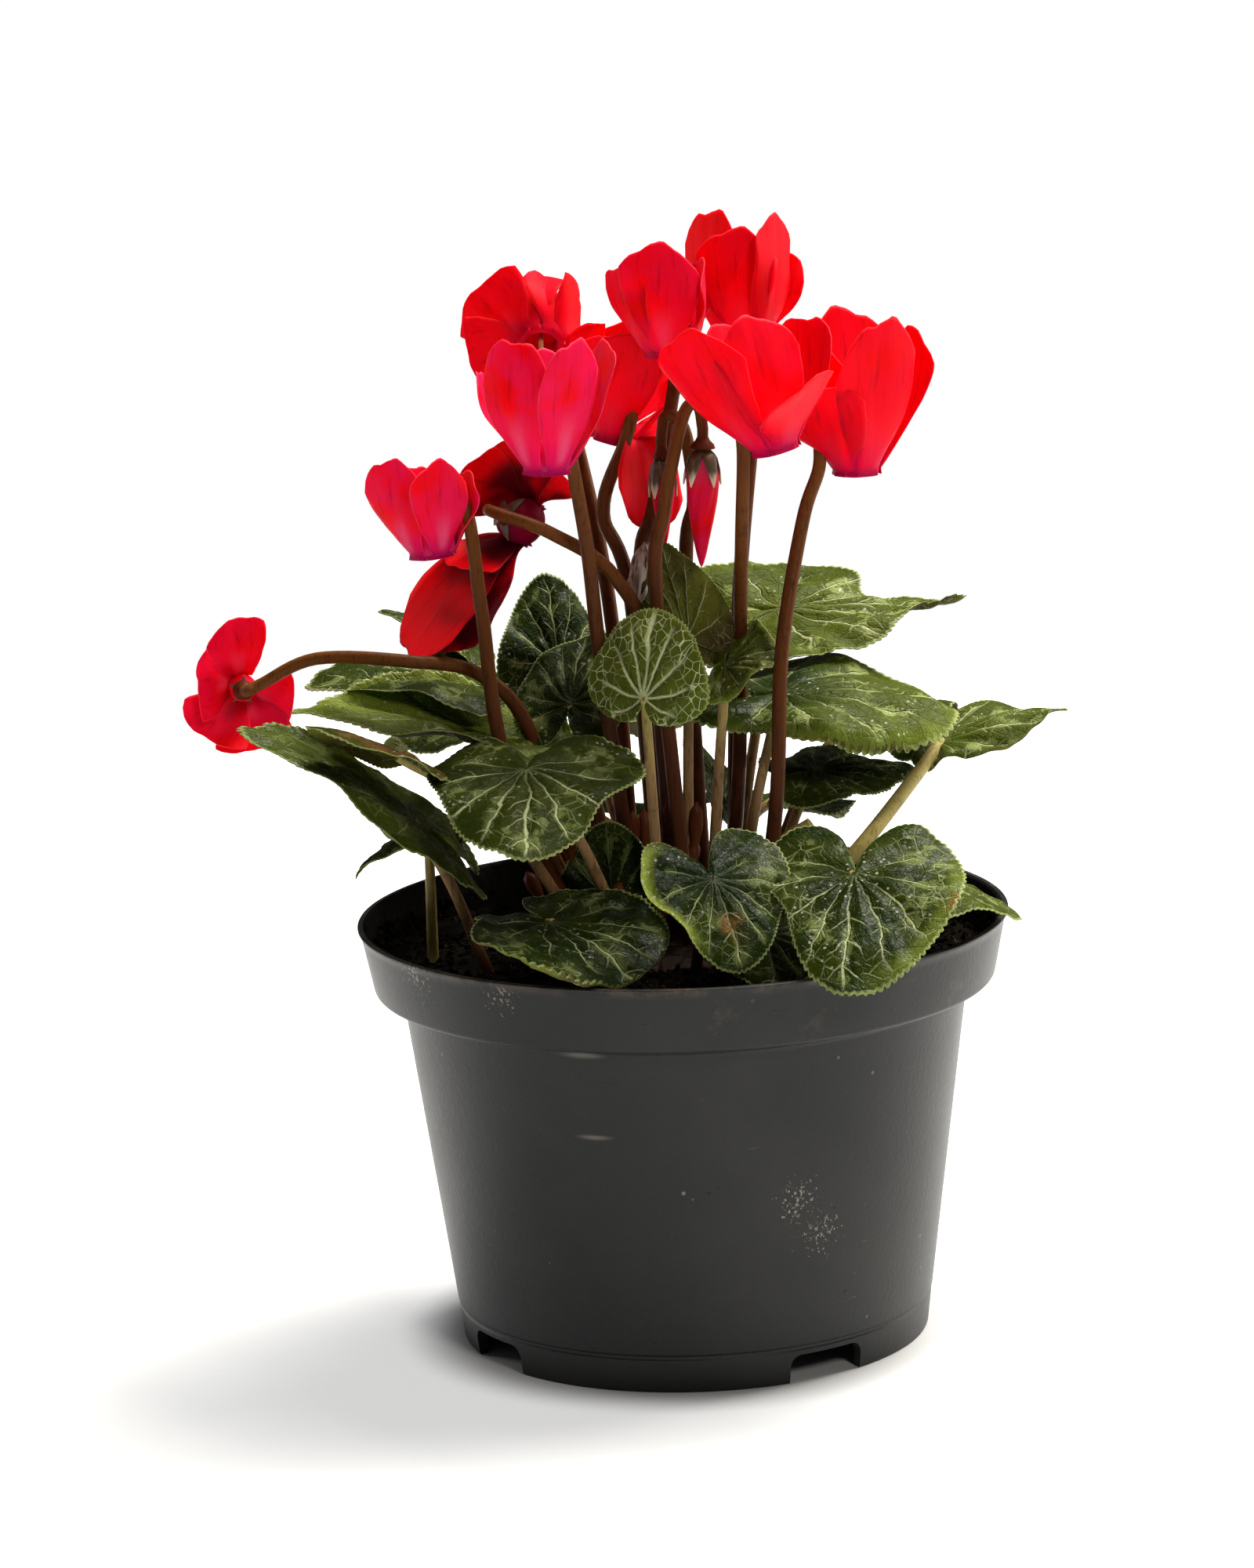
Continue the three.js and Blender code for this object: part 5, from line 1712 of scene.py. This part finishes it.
# The rings of the top are raised to the ground's height, with clods on it
def makeSoil():
    rings = [(soil["topRadius"] * k / soil["rings"], soil["level"]) for k in range(soil["rings"], -1, -1)]
    piece = turnedPiece("soilBody", soil["wall"] + rings, soil["sides"], soilMaterial())
    for vertex in piece.data.vertices:
        x, y, z = vertex.co / mm
        if z > soil["skirt"]:
            height = groundHeight(x, y) - soil["sunk"]
            for scale, rise, layer in soil["clods"]:
                height += noise.noise(Vector((x, y, layer)) * scale) * rise
            vertex.co.z = height * mm
    return piece


def crumbTree():
    inputs = {"Ground": "Geometry", "Per Area": "Float", "Smallest": "Float", "Largest": "Float"}
    tree, given = newTree("crumbScatter", {**inputs, "Skin": "Material"}, "Crumbs")

    # Random Value keeps its vector sockets first, then its float ones
    def chance(seed, low, high, kind="FLOAT_VECTOR"):
        first, result = (2, 1) if kind == "FLOAT" else (0, 0)
        inputs = {first: low, first + 1: high, "Seed": seed}
        return addNode(tree, "FunctionNodeRandomValue", inputs, data_type=kind).outputs[result]

    spots = {"Mesh": given["Ground"], "Density": given["Per Area"], "Seed": 7}
    spread = addNode(tree, "GeometryNodeDistributePointsOnFaces", spots)
    grain = addNode(tree, "GeometryNodeMeshIcoSphere", {"Radius": 1.0, "Subdivisions": 1})
    size = chance(11, given["Smallest"], given["Largest"], "FLOAT")
    stretch = chance(13, (0.6, 0.6, 0.4), (1.5, 1.0, 0.8))
    turn = chance(17, (0, 0, 0), (6.28, 6.28, 6.28))
    scaled = addNode(tree, "ShaderNodeVectorMath", {0: stretch, "Scale": size}, operation="SCALE")
    crumbs = {"Points": spread.outputs["Points"], "Instance": grain.outputs["Mesh"], "Rotation": turn}
    laid = addNode(tree, "GeometryNodeInstanceOnPoints", {**crumbs, "Scale": scaled.outputs[0]})
    return endTree(tree, given, laid.outputs[0], smooth=False)


# Soil clings to the pot's wall in drifts
def clingingBand(work):
    foot, top = np.array(soil["clingFoot"]), np.array(soil["clingTop"])
    columns = []
    for k in range(soil["clingSteps"]):
        turn = 2 * math.pi * k / soil["clingSteps"]
        x, y = math.cos(turn), math.sin(turn)
        drift = 0.55 + 1.3 * noise.noise(Vector((2 * x, 2 * y, 4)))
        ends = (foot, foot + (top - foot) * min(1, max(0.1, drift)))
        columns.append([work.verts.new(Vector((r * x, r * y, h)) * mm) for r, h in ends])
    for a, b in zip(columns, columns[1:] + columns[:1]):
        work.faces.new((a[0], b[0], b[1], a[1]))


# Crumbs lie on the ground and cling to the wall
def makeCrumbs(ground):
    source = linked("crumbGround", ground.data.copy())
    work = bmesh.new()
    work.from_mesh(source.data)
    low = [f for f in work.faces if f.calc_center_median().z < soil["skirt"] * mm]
    bmesh.ops.delete(work, geom=low, context="FACES")
    clingingBand(work)
    work.to_mesh(source.data)
    work.free()
    smallest, largest = soil["crumbSizes"]
    values = {
        "Per Area": soil["crumbs"] / (math.pi * (soil["topRadius"] * mm) ** 2),
        "Smallest": smallest * mm,
        "Largest": largest * mm,
        "Skin": ground.data.materials[0],
    }
    return grown(source, crumbTree(), values, "soilCrumbs")


def makeTuber():
    middle, half = (tuber["top"] + tuber["bottom"]) / 2, (tuber["top"] - tuber["bottom"]) / 2
    arc = np.linspace(-math.pi / 2, math.pi / 2, tuber["rings"])
    profile = [(math.cos(a) * tuber["radius"], middle + half * math.sin(a)) for a in arc]
    profile[0], profile[-1] = (0, profile[0][1]), (0, profile[-1][1])
    piece = turnedPiece("tuberBody", profile, tuber["sides"], tuberMaterial())
    for vertex in piece.data.vertices:
        x, y, z = vertex.co / mm
        if math.hypot(x, y) > 0:
            scale = tuber["lumps"] / tuber["radius"]
            swell = 1 + tuber["swell"] / tuber["radius"] * float(lump(scale * x, scale * y))
            swell += 0.03 * noise.noise(Vector((x, y, z)) * 0.18)
            x, y = x * swell, y * swell
        z += 0.5 * noise.noise(Vector((x, y, 5)) * 0.25) - tuber["sunk"]
        vertex.co = Vector((x + tuber["centre"][0], y + tuber["centre"][1], z)) * mm
    return piece


ground = makeSoil()
crumbs = makeCrumbs(ground)
finish(ground, "soil", "soil")
finish(crumbs, "soil", "soil")
finish(makeTuber(), "tuber", "tuber")
print("soil and tuber made")


# Last update

bpy.context.view_layer.update()
